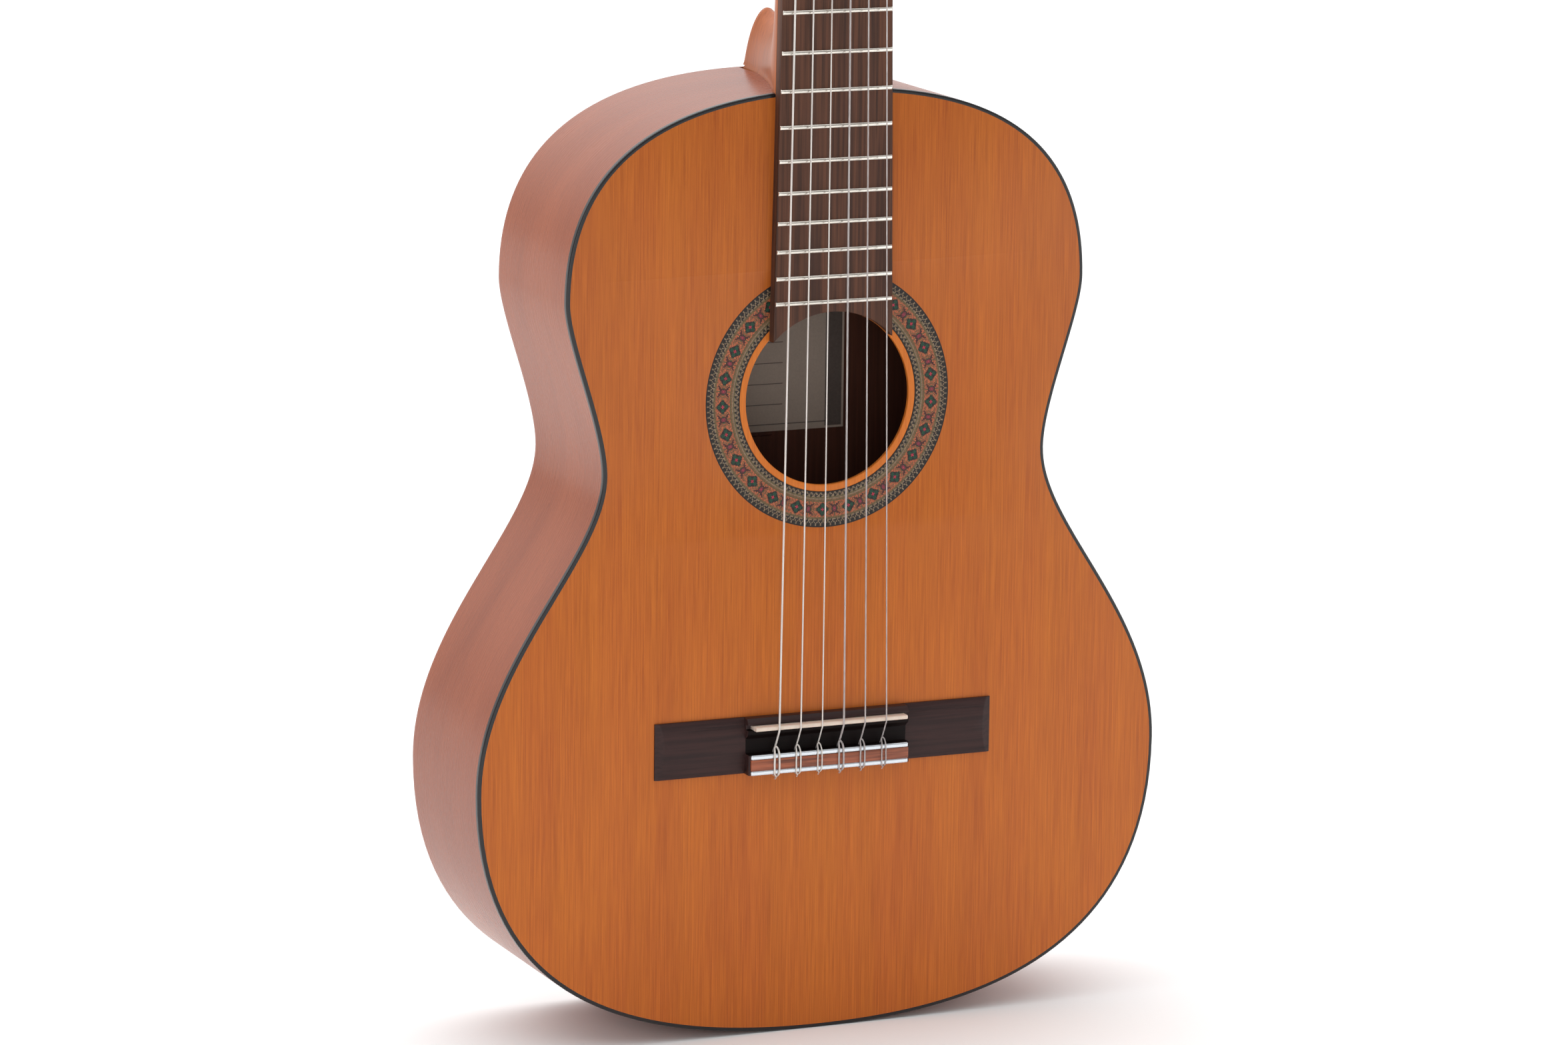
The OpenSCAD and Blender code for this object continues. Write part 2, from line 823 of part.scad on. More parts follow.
// A string's centre line: tail, two strands over the tie block, hole, saddle, nut and roller
function string_path(i) =
    let (r = string_d[i] / 2, x = string_x(i, saddle_pitch), nut_x = string_x(i, nut_pitch),
         over = -tie_block_top - r - 0.03, low = bridge_low, high = bridge_low + tie_block_len,
         s = tie_spread * string_d[i] + 0.1, touch = roller_touch(i),
         end_x = side_of(i) * wrap_x[row_of(i)])
    [
        [x - s - 1, over - 0.1, low - 1.5], [x - s, over, low + 1], [x - s, over, high - 1],
        [x - s + 0.2, over, high + r + 0.4], [x, over - 0.3, high + r + 1],
        [x + s - 0.2, over, high + r + 0.4], [x + s, over, high - 1],
        [x + s, over, low + 1], [x + s * 0.9, over + 0.8, low - r - 0.4], [x + s * 0.4, tie_hole_y - 1.4, low - r - 0.9],
        [x, tie_hole_y - 0.2, low - r - 0.2], [x, tie_hole_y, low + 1.5], [x, tie_hole_y, high - 1],
        [x, tie_hole_y - 0.6, high + 1.2],
        [x, -saddle_top - r, saddle_z - 1.5], [x, -saddle_top - r - 0.02, saddle_z],
        [x, -saddle_top - r, saddle_z + 1.5],
        [nut_x, -nut_top - r, nut_z], [nut_x, -nut_top - r, nut_z + 3],
        [nut_x, -nut_top - r, head_z],
        head_point(end_x, touch[0], touch[1])
    ];

function tangent(path, i) = unit(path[min(i + 1, len(path) - 1)] - path[max(i - 1, 0)]);

// The normals of a path's rings, each turned as little as possible from the one before
function normals(path, i, last) =
    let (t = tangent(path, i), here = unit(last - (last * t) * t))
    i == len(path) - 1 ? [here] : concat([here], normals(path, i + 1, here));

module string(i) {
    path = string_path(i);
    side = normals(path, 0, [1, 0, 0.2]);
    r = string_d[i] / 2;
    color(i < 3 ? "#d5d5d2" : "#e9e6dc") placed() skin([for (k = [0:len(path) - 1])
        let (up = cross(tangent(path, k), side[k]))
        [for (j = [0:string_sides - 1]) let (a = 360 * j / string_sides)
            path[k] + r * (cos(a) * side[k] + sin(a) * up)]]);
}

// ---- Assembly ----

soundboard();
back_plate();
rib_bass();
rib_treble();
tail_block();
top_linings();
back_linings();
fan_braces();
harmonic_bars();
soundhole_patch();
back_braces();
back_seam_strip();
top_binding();
back_binding();
tail_graft();
rosette();
label();
bridge();
saddle();
tie_block_trim();
neck();
heel_cap();
fingerboard();
frets();
nut();
headstock();
headstock_veneer();
tuner_plate_bass();
tuner_plate_treble();
plate_screws();
string(0);  // string_6
string(1);  // string_5
string(2);  // string_4
string(3);  // string_3
string(4);  // string_2
string(5);  // string_1
roller(0);  // roller_6
roller(1);  // roller_5
roller(2);  // roller_4
roller(3);  // roller_3
roller(4);  // roller_2
roller(5);  // roller_1
gear(0);  // gear_6
gear(1);  // gear_5
gear(2);  // gear_4
gear(3);  // gear_3
gear(4);  // gear_2
gear(5);  // gear_1
worm(0);  // worm_6
worm(1);  // worm_5
worm(2);  // worm_4
worm(3);  // worm_3
worm(4);  // worm_2
worm(5);  // worm_1
knob(0);  // knob_6
knob(1);  // knob_5
knob(2);  // knob_4
knob(3);  // knob_3
knob(4);  // knob_2
knob(5);  // knob_1
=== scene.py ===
"""The looks of a six-string classical guitar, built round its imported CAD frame.

Sizes are millimetres measured from the body's own axes: x to the treble side, y backwards from
the soundboard's face and z up from the tail. place() turns them into the frame's metres.
"""
import math
import random
from math import cos, pi, radians, sin

import bmesh
import bpy
import numpy as np
from mathutils import Matrix, Vector


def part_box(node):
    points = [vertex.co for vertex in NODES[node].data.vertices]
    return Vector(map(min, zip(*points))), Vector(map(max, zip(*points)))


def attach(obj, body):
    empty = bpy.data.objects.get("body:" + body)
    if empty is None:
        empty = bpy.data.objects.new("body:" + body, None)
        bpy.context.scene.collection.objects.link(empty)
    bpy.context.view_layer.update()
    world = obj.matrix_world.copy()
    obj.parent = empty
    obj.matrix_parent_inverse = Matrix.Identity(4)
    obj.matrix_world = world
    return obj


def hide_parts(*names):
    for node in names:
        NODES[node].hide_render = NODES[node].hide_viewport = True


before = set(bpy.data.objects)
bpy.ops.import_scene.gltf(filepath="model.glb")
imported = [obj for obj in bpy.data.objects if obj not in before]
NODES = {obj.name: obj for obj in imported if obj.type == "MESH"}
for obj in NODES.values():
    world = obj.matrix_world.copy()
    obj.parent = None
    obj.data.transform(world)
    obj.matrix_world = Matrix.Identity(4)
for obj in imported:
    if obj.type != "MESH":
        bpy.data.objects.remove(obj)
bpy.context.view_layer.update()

MM = 0.001
ROOT = "guitar"

# ---- Driving places, read from the frame ----

FRONT_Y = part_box("soundboard")[0].y
DEPTH = (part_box("back_plate")[1].y - FRONT_Y) / MM
NUT_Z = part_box("nut")[0].z / MM
HEAD_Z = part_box("nut")[1].z / MM
SCALE_LEN, FRET_COUNT = 650, 19
BODY_LEN = NUT_Z - SCALE_LEN / 2
HOLE_Z = (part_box("rosette")[0].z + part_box("rosette")[1].z) / 2 / MM
ROSETTE_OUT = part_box("rosette")[1].x / MM
SADDLE_Z = (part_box("saddle")[0].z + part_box("saddle")[1].z) / 2 / MM
SADDLE_TOP = (FRONT_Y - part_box("saddle")[0].y) / MM
BRIDGE_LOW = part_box("bridge")[0].z / MM
BRIDGE_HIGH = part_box("bridge")[1].z / MM
BRIDGE_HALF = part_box("bridge")[1].x / MM
BLOCK_TOP = (FRONT_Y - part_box("bridge")[0].y) / MM
BOARD_T = (FRONT_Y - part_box("fingerboard")[0].y) / MM

# ---- Sizes that the CAD model gives too ----

LOWER, WAIST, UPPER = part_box("top_binding")[1].x / MM, 122.6, 143.2
RIB_T, BINDING_H, TOP_T, BACK_T = 2.0, 3.0, 2.4, 2.8
HOLE_R, ROSETTE_IN, BOARD_CORNER = 45.2, 48.8, 30.7
NUT_W, JOINT_W = 52.0, 62.0
NECK_T, HEEL_START_T, HEEL_H, HEEL_LEAN = 16.0, 18.0, 31.5, 11.0
TILT = radians(15)
HEAD_LEN, HEAD_HALF, HEAD_T, VENEER_T = 188.0, 36.0, 17.0, 2.0
STRING_D = (1.1, 0.9, 0.76, 1.02, 0.82, 0.72)
NUT_TOP, SADDLE_PITCH, NUT_PITCH = BOARD_T + 1.9, 12.0, 8.6
BLOCK_HALF, BLOCK_LEN, TIE_HOLE_Y = 45.0, 10.8, -4.4
ROLLER_Z, ROLLER_Y, ROLLER_R = (50.0, 85.0, 120.0), HEAD_T / 2, 5.0
WRAP_X = (19.4, 16.4, 14.6)
PLATE_T, PLATE_LOW, PLATE_HIGH, PLATE_HALF = 1.2, 27.0, 147.0, 7.0
LUG_Y, LUG_T, LUG_HALF = 5.4, 1.6, 3.4
SCREW_Z = (33.0, 71.5, 106.5, 141.0)
GEAR_X, GEAR_W, GEAR_TEETH = 39.6, 3.0, 14
WORM_X, WORM_GAP, WORM_LEAD = 41.1, 8.0, 2 * pi * 5 / 14
KNOB_LOW, KNOB_R = HEAD_T + 7, 8.4


def place(p):
    """A point in the part's own millimetres, as a point in the frame."""
    return Vector((p[0] * MM, p[1] * MM + FRONT_Y, p[2] * MM))


def head_point(x, y, z):
    """A point in the tilted headstock's millimetres, in the body's millimetres."""
    return (x, y * cos(TILT) + z * sin(TILT), HEAD_Z - y * sin(TILT) + z * cos(TILT))


HEAD_FRAME = (Matrix.Translation(place((0, 0, HEAD_Z))) @ Matrix.Rotation(-TILT, 4, "X"))
BODY_FRAME = Matrix.Translation(Vector((0, FRONT_Y, 0)))

# ---- Outlines ----

BODY_CURVES = (
    ((0, 0), (80, 0), (LOWER, 16), (LOWER, 139)),
    ((LOWER, 139), (LOWER, 208), (WAIST, 257), (WAIST, 299)),
    ((WAIST, 299), (WAIST, 324), (UPPER, 368), (UPPER, 388)),
    ((UPPER, 388), (UPPER, 456), (96, BODY_LEN), (0, BODY_LEN)),
)


def bezier(points, t):
    a, b, c, d = (np.array(p, float) for p in points)
    return (1 - t) ** 3 * a + 3 * (1 - t) ** 2 * t * b + 3 * (1 - t) * t * t * c + t ** 3 * d


def bezier_slope(points, t):
    a, b, c, d = (np.array(p, float) for p in points)
    v = (1 - t) ** 2 * (b - a) + 2 * (1 - t) * t * (c - b) + t * t * (d - c)
    return v / np.linalg.norm(v)


def body_loop(inset, steps=40):
    """The body's closed outline as (x, z), moved inwards by inset."""
    side = []
    for curve in BODY_CURVES:
        for i in range(steps):
            slope = bezier_slope(curve, i / steps)
            side.append(bezier(curve, i / steps) - inset * np.array((slope[1], -slope[0])))
    side.append(np.array((0, BODY_LEN - inset)))
    return mirrored(side)


def mirrored(side):
    return [tuple(p) for p in side] + [(-p[0], p[1]) for p in side[-2:0:-1]]


def angles(start, stop, steps):
    """Even angles from start to stop, both included, in half turns."""
    return [pi * (start + (stop - start) * k / steps) for k in range(steps + 1)]


def circle_loop(r, steps=160):
    return [(r * cos(a), HOLE_Z + r * sin(a)) for a in angles(0, 2, steps)[:-1]]


def board_half(z):
    return NUT_W / 2 + (NUT_Z - z) * (JOINT_W - NUT_W) / SCALE_LEN


def fret_z(n):
    return NUT_Z - SCALE_LEN * (1 - 2 ** (-n / 12))


def string_x(i, pitch):
    return (i - 2.5) * pitch


# ---- Mesh helpers ----

def finish_mesh(name, mesh, material, body=ROOT, sharp=32):
    """Links a mesh as a piece of its body, smooth but for edges sharper than the given angle."""
    mesh.polygons.foreach_set("use_smooth", [True] * len(mesh.polygons))
    mesh.set_sharp_from_angle(angle=radians(sharp))
    mesh.name = name
    for m in material if isinstance(material, (list, tuple)) else [material]:
        mesh.materials.append(m)
    obj = bpy.data.objects.new(name, mesh)
    bpy.context.scene.collection.objects.link(obj)
    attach(obj, body)
    return obj


def add_piece(node, slot, *finished, **more):
    """Finishes a mesh as the piece that is seen in place of a CAD node."""
    piece = finish_mesh(*finished, **more)
    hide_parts(node)


def edited(mesh, *changes):
    bm = bmesh.new()
    bm.from_mesh(mesh)
    for change in changes:
        change(bm)
    bm.to_mesh(mesh)
    bm.free()
    return mesh


def mesh_from(points, faces, basis=BODY_FRAME):
    mesh = bpy.data.meshes.new("made")
    mesh.from_pydata([tuple(basis @ (Vector(p) * MM)) for p in points], [], faces)
    return edited(mesh, lambda bm: bmesh.ops.recalc_face_normals(bm, faces=bm.faces))


def skin_faces(rings, count, closed_row):
    """Quads between rings of count points; a closed row joins last ring to first, an open one is capped."""
    faces = []
    last = rings if closed_row else rings - 1
    for i in range(last):
        k = (i + 1) % rings
        for j in range(count):
            m = (j + 1) % count
            faces.append((i * count + j, k * count + j, k * count + m, i * count + m))
    if not closed_row:
        faces.append(tuple(range(count)))
        faces.append(tuple((rings - 1) * count + j for j in reversed(range(count))))
    return faces


def skin(rings, basis=BODY_FRAME, closed_row=False):
    points = [p for ring in rings for p in ring]
    return mesh_from(points, skin_faces(len(rings), len(rings[0]), closed_row), basis)


def joined(meshes):
    """One mesh made of several; each one's material index is kept."""
    bm = bmesh.new()
    for mesh in meshes:
        bm.from_mesh(mesh)
    out = bpy.data.meshes.new("joined")
    bm.to_mesh(out)
    bm.free()
    return out


def with_index(mesh, index):
    mesh.polygons.foreach_set("material_index", [index] * len(mesh.polygons))
    return mesh


def plate_mesh(loops, front, back, bevel=0.3, basis=BODY_FRAME, rounds=2):
    """A flat plate between two depths, with its outline and holes as loops of (x, z)."""
    curve = bpy.data.curves.new("plate", "CURVE")
    curve.dimensions = "2D"
    curve.fill_mode = "BOTH"
    for loop in loops:
        spline = curve.splines.new("POLY")
        spline.points.add(len(loop) - 1)
        for point, (x, z) in zip(spline.points, loop):
            point.co = (x * MM, z * MM, 0, 1)
        spline.use_cyclic_u = True
    curve.bevel_depth = bevel * MM
    curve.offset = -bevel * MM
    curve.bevel_resolution = rounds
    curve.extrude = ((back - front) / 2 - bevel) * MM
    obj = bpy.data.objects.new("plate", curve)
    bpy.context.scene.collection.objects.link(obj)
    depsgraph = bpy.context.evaluated_depsgraph_get()
    mesh = bpy.data.meshes.new_from_object(obj.evaluated_get(depsgraph), depsgraph=depsgraph)
    bpy.data.objects.remove(obj)
    bpy.data.curves.remove(curve)
    middle = Matrix.Translation(Vector((0, (front + back) / 2 * MM, 0)))
    mesh.transform(basis @ middle @ Matrix.Rotation(radians(90), 4, "X"))
    return edited(mesh, lambda bm: bmesh.ops.remove_doubles(bm, verts=bm.verts, dist=1e-6),
                  lambda bm: bmesh.ops.recalc_face_normals(bm, faces=bm.faces))


def edge_sweep(profile):
    """Carries a closed profile of (inset, depth) round the body's outline."""
    loops = [body_loop(inset) for inset, depth in profile]
    rings = [[(loop[i][0], depth, loop[i][1]) for loop, (inset, depth) in zip(loops, profile)]
             for i in range(len(loops[0]))]
    return skin(rings, closed_row=True)


def block_mesh(low, high, bevel=0.2, basis=BODY_FRAME, rounds=2):
    """A box with rounded edges."""
    bm = bmesh.new()
    bmesh.ops.create_cube(bm, size=1)
    low, high = Vector(low), Vector(high)
    for v in bm.verts:
        v.co = Vector([low[k] + (v.co[k] + 0.5) * (high[k] - low[k]) for k in range(3)])
    if bevel:
        bmesh.ops.bevel(bm, geom=bm.edges[:], offset=bevel, segments=rounds, profile=0.5, affect="EDGES")
    for v in bm.verts:
        v.co = basis @ (v.co * MM)
    mesh = bpy.data.meshes.new("block")
    bm.to_mesh(mesh)
    bm.free()
    return mesh


def turned(profile, axis_point, axis="X", steps=32, basis=BODY_FRAME):
    """A solid of revolution from (distance along the axis, radius) pairs."""
    rings = []
    for along, r in profile:
        ring = []
        for j in range(steps):
            a = 2 * pi * j / steps
            u, v = max(r, 0.001) * cos(a), max(r, 0.001) * sin(a)
            off = (along, u, v) if axis == "X" else (u, along, v)
            ring.append(tuple(axis_point[k] + off[k] for k in range(3)))
        rings.append(ring)
    return skin(rings, basis)


def side_turned(side, profile, x, z, steps):
    """A turned piece on one side of the headstock, with its profile going outwards from x."""
    return turned([(side * a, r) for a, r in profile], (x, ROLLER_Y, z), "X", steps, HEAD_FRAME)


def side_block(side, xs, ys, zs, bevel=0.0, rounds=2):
    """A block on one side of the headstock, between two distances from its middle."""
    low, high = zip(sorted(side * x for x in xs), ys, zs)
    return block_mesh(low, high, bevel, HEAD_FRAME, rounds)


def smooth_path(points, per):
    """A Catmull-Rom curve through the points."""
    pts = [np.array(p, float) for p in points]
    pts = [2 * pts[0] - pts[1]] + pts + [2 * pts[-1] - pts[-2]]
    out = []
    for i in range(1, len(pts) - 2):
        a, b, c, d = pts[i - 1:i + 3]
        for k in range(per):
            t = k / per
            out.append(0.5 * (2 * b + (c - a) * t + (2 * a - 5 * b + 4 * c - d) * t * t
                              + (3 * b - a - 3 * c + d) * t ** 3))
    out.append(pts[-2])
    return out


def tube_mesh(path, r, sides, basis=BODY_FRAME):
    """A round tube along a path, with its length along the path kept in the attribute 'along'."""
    path = [np.array(p, float) for p in path]
    normal = np.array((1, 0, 0.2))
    rings, along = [], []
    total = 0
    for i, p in enumerate(path):
        t = path[min(i + 1, len(path) - 1)] - path[max(i - 1, 0)]
        t /= np.linalg.norm(t)
        normal = normal - normal.dot(t) * t
        normal /= np.linalg.norm(normal)
        side = np.cross(t, normal)
        if i:
            total += np.linalg.norm(p - path[i - 1])
        rings.append([tuple(p + r * (cos(a) * normal + sin(a) * side))
                      for a in (2 * pi * j / sides for j in range(sides))])
        along += [total] * sides
    mesh = skin(rings, basis)
    attribute = mesh.attributes.new("along", "FLOAT", "POINT")
    attribute.data.foreach_set("value", along)
    return mesh


# ---- Materials ----

def srgb(r, g, b):
    """A colour given as 0 to 255, in the linear values that Blender's nodes use."""
    def linear(v):
        v /= 255
        return v / 12.92 if v <= 0.04045 else ((v + 0.055) / 1.055) ** 2.4
    return (linear(r), linear(g), linear(b), 1)


class Nodes:
    """Short calls for building the node tree of a new material, or of a world."""

    def __init__(self, name, group="materials", shader="Principled BSDF"):
        self.material = getattr(bpy.data, group).new(name)
        self.material.use_nodes = True
        self.tree = self.material.node_tree
        self.shader = self.tree.nodes[shader]

    def node(self, kind, inputs=None, **settings):
        node = self.tree.nodes.new(kind)
        for key, value in settings.items():
            setattr(node, key, value)
        for key, value in (inputs or {}).items():
            node.inputs[key].default_value = value
        return node

    def link(self, out, into):
        self.tree.links.new(out, into)

    def set(self, **values):
        for key, value in values.items():
            self.shader.inputs[key.replace("_", " ")].default_value = value

    def coords(self, scale):
        source = self.node("ShaderNodeTexCoord")
        mapping = self.node("ShaderNodeMapping", {"Scale": scale})
        self.link(source.outputs["Object"], mapping.inputs["Vector"])
        return mapping.outputs["Vector"]

    def noise(self, vector, scale, detail=3, rough=0.5, distortion=0.0):
        node = self.node("ShaderNodeTexNoise", {"Scale": scale, "Detail": detail, "Roughness": rough,
                                                "Distortion": distortion})
        self.link(vector, node.inputs["Vector"])
        return node.outputs["Fac"]

    def ramp(self, value, stops):
        node = self.node("ShaderNodeValToRGB")
        ramp = node.color_ramp
        ramp.elements[0].position, ramp.elements[0].color = stops[0]
        ramp.elements[1].position, ramp.elements[1].color = stops[-1]
        for position, color in stops[1:-1]:
            ramp.elements.new(position).color = color
        self.link(value, node.inputs["Fac"])
        return node.outputs["Color"]

    def axes(self, space):
        source = self.node("ShaderNodeTexCoord")
        parts = self.node("ShaderNodeSeparateXYZ")
        self.link(source.outputs[space], parts.inputs["Vector"])
        return parts.outputs

    def maths(self, operation, *values):
        node = self.node("ShaderNodeMath", operation=operation)
        for socket, value in zip(node.inputs, values):
            if isinstance(value, (int, float)):
                socket.default_value = value
            else:
                self.link(value, socket)
        return node.outputs["Value"]

    def mix(self, factor, a, b, blend="MIX"):
        node = self.node("ShaderNodeMix", data_type="RGBA", blend_type=blend)
        for key, value in (("Factor_Float", factor), ("A_Color", a), ("B_Color", b)):
            socket = next(s for s in node.inputs if s.identifier == key)
            if isinstance(value, (int, float, tuple)):
                socket.default_value = value
            else:
                self.link(value, socket)
        return next(s for s in node.outputs if s.identifier == "Result_Color")

    def bump(self, height, strength, distance):
        node = self.node("ShaderNodeBump", {"Strength": strength, "Distance": distance})
        self.link(height, node.inputs["Height"])
        self.link(node.outputs["Normal"], self.shader.inputs["Normal"])

    def color(self, value):
        self.link(value, self.shader.inputs["Base Color"])

    def mapped(self, value, inputs, **settings):
        node = self.node("ShaderNodeMapRange", inputs, **settings)
        self.link(value, node.inputs["Value"])
        return node.outputs["Result"]

    def roughness(self, value, low, high):
        self.link(self.mapped(value, {"To Min": low, "To Max": high}), self.shader.inputs["Roughness"])


def wood(name, light, dark, grain=(1, 1, 0.03), lines=700, bands=60, rough=(0.35, 0.5), spec=0.4,
         coat=0.0, line_mix=0.4, band_mix=0.5, cloud_mix=0.25, pore=0.0, bump=0.15):
    """Straight-grained wood. grain scales the coordinates, so its smallest axis is the grain's."""
    n = Nodes(name)
    light, dark = srgb(*light), srgb(*dark)
    vector = n.coords(grain)
    broad = n.noise(vector, bands, 2, 0.5, 0.2)
    fine = n.noise(vector, lines, 3, 0.6)
    cloud = n.noise(n.coords(tuple(max(g, 0.3) for g in grain)), 18, 2, 0.5, 0.4)
    middle = tuple((a + b) / 2 for a, b in zip(light, dark))
    color = n.mix(band_mix, light, n.ramp(broad, ((0.35, middle), (0.65, light))))
    color = n.mix(cloud_mix, color, n.ramp(cloud, ((0.35, middle), (0.65, light))))
    color = n.mix(line_mix, color, n.ramp(fine, ((0.38, dark), (0.62, light))))
    height = fine
    if pore:
        pores = n.noise(n.coords(tuple(g * (1 if g > 0.5 else 1.6) for g in grain)), lines * 0.9, 2, 0.4)
        mask = n.ramp(pores, ((0.60, (0, 0, 0, 1)), (0.68, (1, 1, 1, 1))))
        deep = tuple(c * 0.45 for c in dark[:3]) + (1,)
        color = n.mix(n.maths("MULTIPLY", mask, pore), color, deep)
        height = n.maths("SUBTRACT", fine, mask)
    n.color(color)
    n.roughness(fine, *rough)
    n.set(Specular_IOR_Level=spec, Coat_Weight=coat, Coat_Roughness=0.12)
    n.bump(height, bump, 0.00015)
    return n.material


def cedar(name, light, mid, dark, ruddy, golden):
    """Bookmatched cedar: close growth lines, mirrored about the seam, with slow drifts of colour, and painted
    light that makes it lighter towards the tail and darker towards the neck.
    """
    n = Nodes(name)
    light, mid, dark, ruddy, golden = (srgb(*color) for color in (light, mid, dark, ruddy, golden))
    axes = n.axes("Object")
    halves = n.maths("ABSOLUTE", axes["X"])

    def along(stretch, shift):
        both = n.node("ShaderNodeCombineXYZ")
        n.link(n.maths("ADD", halves, shift), both.inputs["X"])
        n.link(n.maths("MULTIPLY", axes["Z"], stretch), both.inputs["Z"])
        return both.outputs["Vector"]

    lines = n.noise(along(0.008, 0.0), 480, 2, 0.55)
    fibre = n.noise(along(0.018, 0.3), 1300, 3, 0.65)
    drift = n.noise(along(0.05, 0.7), 75, 2, 0.5)
    patch = n.noise(along(0.45, 1.1), 24, 3, 0.55, 0.3)
    hue = n.noise(along(0.05, 1.7), 60, 2, 0.5)
    color = n.mix(0.62, mid, n.ramp(lines, ((0.36, dark), (0.48, mid), (0.62, light))))
    color = n.mix(0.38, color, n.ramp(drift, ((0.36, dark), (0.62, light))))
    color = n.mix(0.34, color, n.ramp(patch, ((0.36, ruddy), (0.5, mid), (0.64, golden))))
    color = n.mix(0.30, color, n.ramp(hue, ((0.36, ruddy), (0.64, golden))))
    color = n.mix(0.40, color, n.ramp(fibre, ((0.36, dark), (0.64, light))))
    # Painted light: the colour is raised near the floor and lowered from half a metre up, for the light that falls
    # more on the lower part of the top.
    fade = n.ramp(axes["Z"], ((0.0, (1.15, 1.15, 1.13, 1)), (0.5, (0.92, 0.91, 0.88, 1))))
    n.color(n.mix(1.0, color, fade, "MULTIPLY"))
    n.roughness(fibre, 0.36, 0.46)
    n.set(Specular_IOR_Level=0.3)
    n.bump(lines, 0.08, 0.0001)
    return n.material


def plain(name, color, rough=0.4, metal=0.0, coat=0.0, tone=0.06, scale=400, bump=0.05, **more):
    """A nearly plain surface: slight mottling in colour and roughness at a fine scale."""
    n = Nodes(name)
    mottle = n.noise(n.coords((1, 1, 1)), scale, 3)
    color = srgb(*color)[:3]
    low = tuple(c * (1 - tone) for c in color) + (1,)
    high = tuple(min(1, c * (1 + tone)) for c in color) + (1,)
    n.color(n.ramp(mottle, ((0.3, low), (0.7, high))))
    n.roughness(mottle, max(0.02, rough - 0.05), rough + 0.06)
    n.set(Metallic=metal, Coat_Weight=coat, **more)
    n.bump(mottle, bump, 0.00005)
    return n.material


def pearl():
    """Pearl-effect plastic: soft cloudy layers in cream and grey."""
    n = Nodes("pearl_plastic")
    cloud = n.noise(n.coords((1, 1, 2.2)), 160, 4, 0.55, 2.0)
    n.color(n.ramp(cloud, ((0.3, srgb(206, 201, 188)), (0.5, srgb(236, 231, 218)), (0.7, srgb(250, 247, 240)))))
    n.roughness(cloud, 0.12, 0.22)
    n.set(Coat_Weight=0.6, Coat_Roughness=0.08, Subsurface_Weight=0.15, Subsurface_Scale=0.002)
    return n.material


def winding():
    """Silver-plated wire wound round a core, from the attribute 'along' in millimetres."""
    n = Nodes("wound_wire")
    source = n.node("ShaderNodeAttribute", attribute_name="along")
    turn = n.maths("MULTIPLY", source.outputs["Fac"], 2 * pi / 0.28)
    ridge = n.maths("MULTIPLY_ADD", n.maths("SINE", turn), 0.5, 0.5)
    # Lighter on the crests and darker in the grooves between turns: painted shade; the same wave drives the bump.
    n.color(n.ramp(ridge, ((0.0, srgb(170, 164, 158)), (0.6, srgb(240, 234, 228)))))
    n.set(Metallic=0.55, Roughness=0.3)
    n.bump(ridge, 0.5, 0.00006)
    return n.material


def nylon():
    n = Nodes("clear_nylon")
    haze = n.noise(n.coords((1, 1, 0.2)), 900, 2)
    n.color(n.ramp(haze, ((0.3, srgb(204, 196, 194)), (0.7, srgb(228, 220, 218)))))
    n.roughness(haze, 0.14, 0.24)
    n.set(Transmission_Weight=0.5, IOR=1.5, Specular_IOR_Level=0.6)
    return n.material


def mosaic():
    """Lacquered tiles whose colours are in the face attribute 'tile'."""
    n = Nodes("mosaic_tiles")
    tile = n.node("ShaderNodeAttribute", attribute_name="tile")
    grain = n.noise(n.coords((1, 1, 1)), 1500, 2)
    shade = n.ramp(grain, ((0.3, (0.82, 0.82, 0.82, 1)), (0.7, (1.12, 1.12, 1.12, 1))))
    n.color(n.mix(1.0, tile.outputs["Color"], shade, "MULTIPLY"))
    n.roughness(grain, 0.34, 0.44)
    n.set(Specular_IOR_Level=0.35)
    return n.material


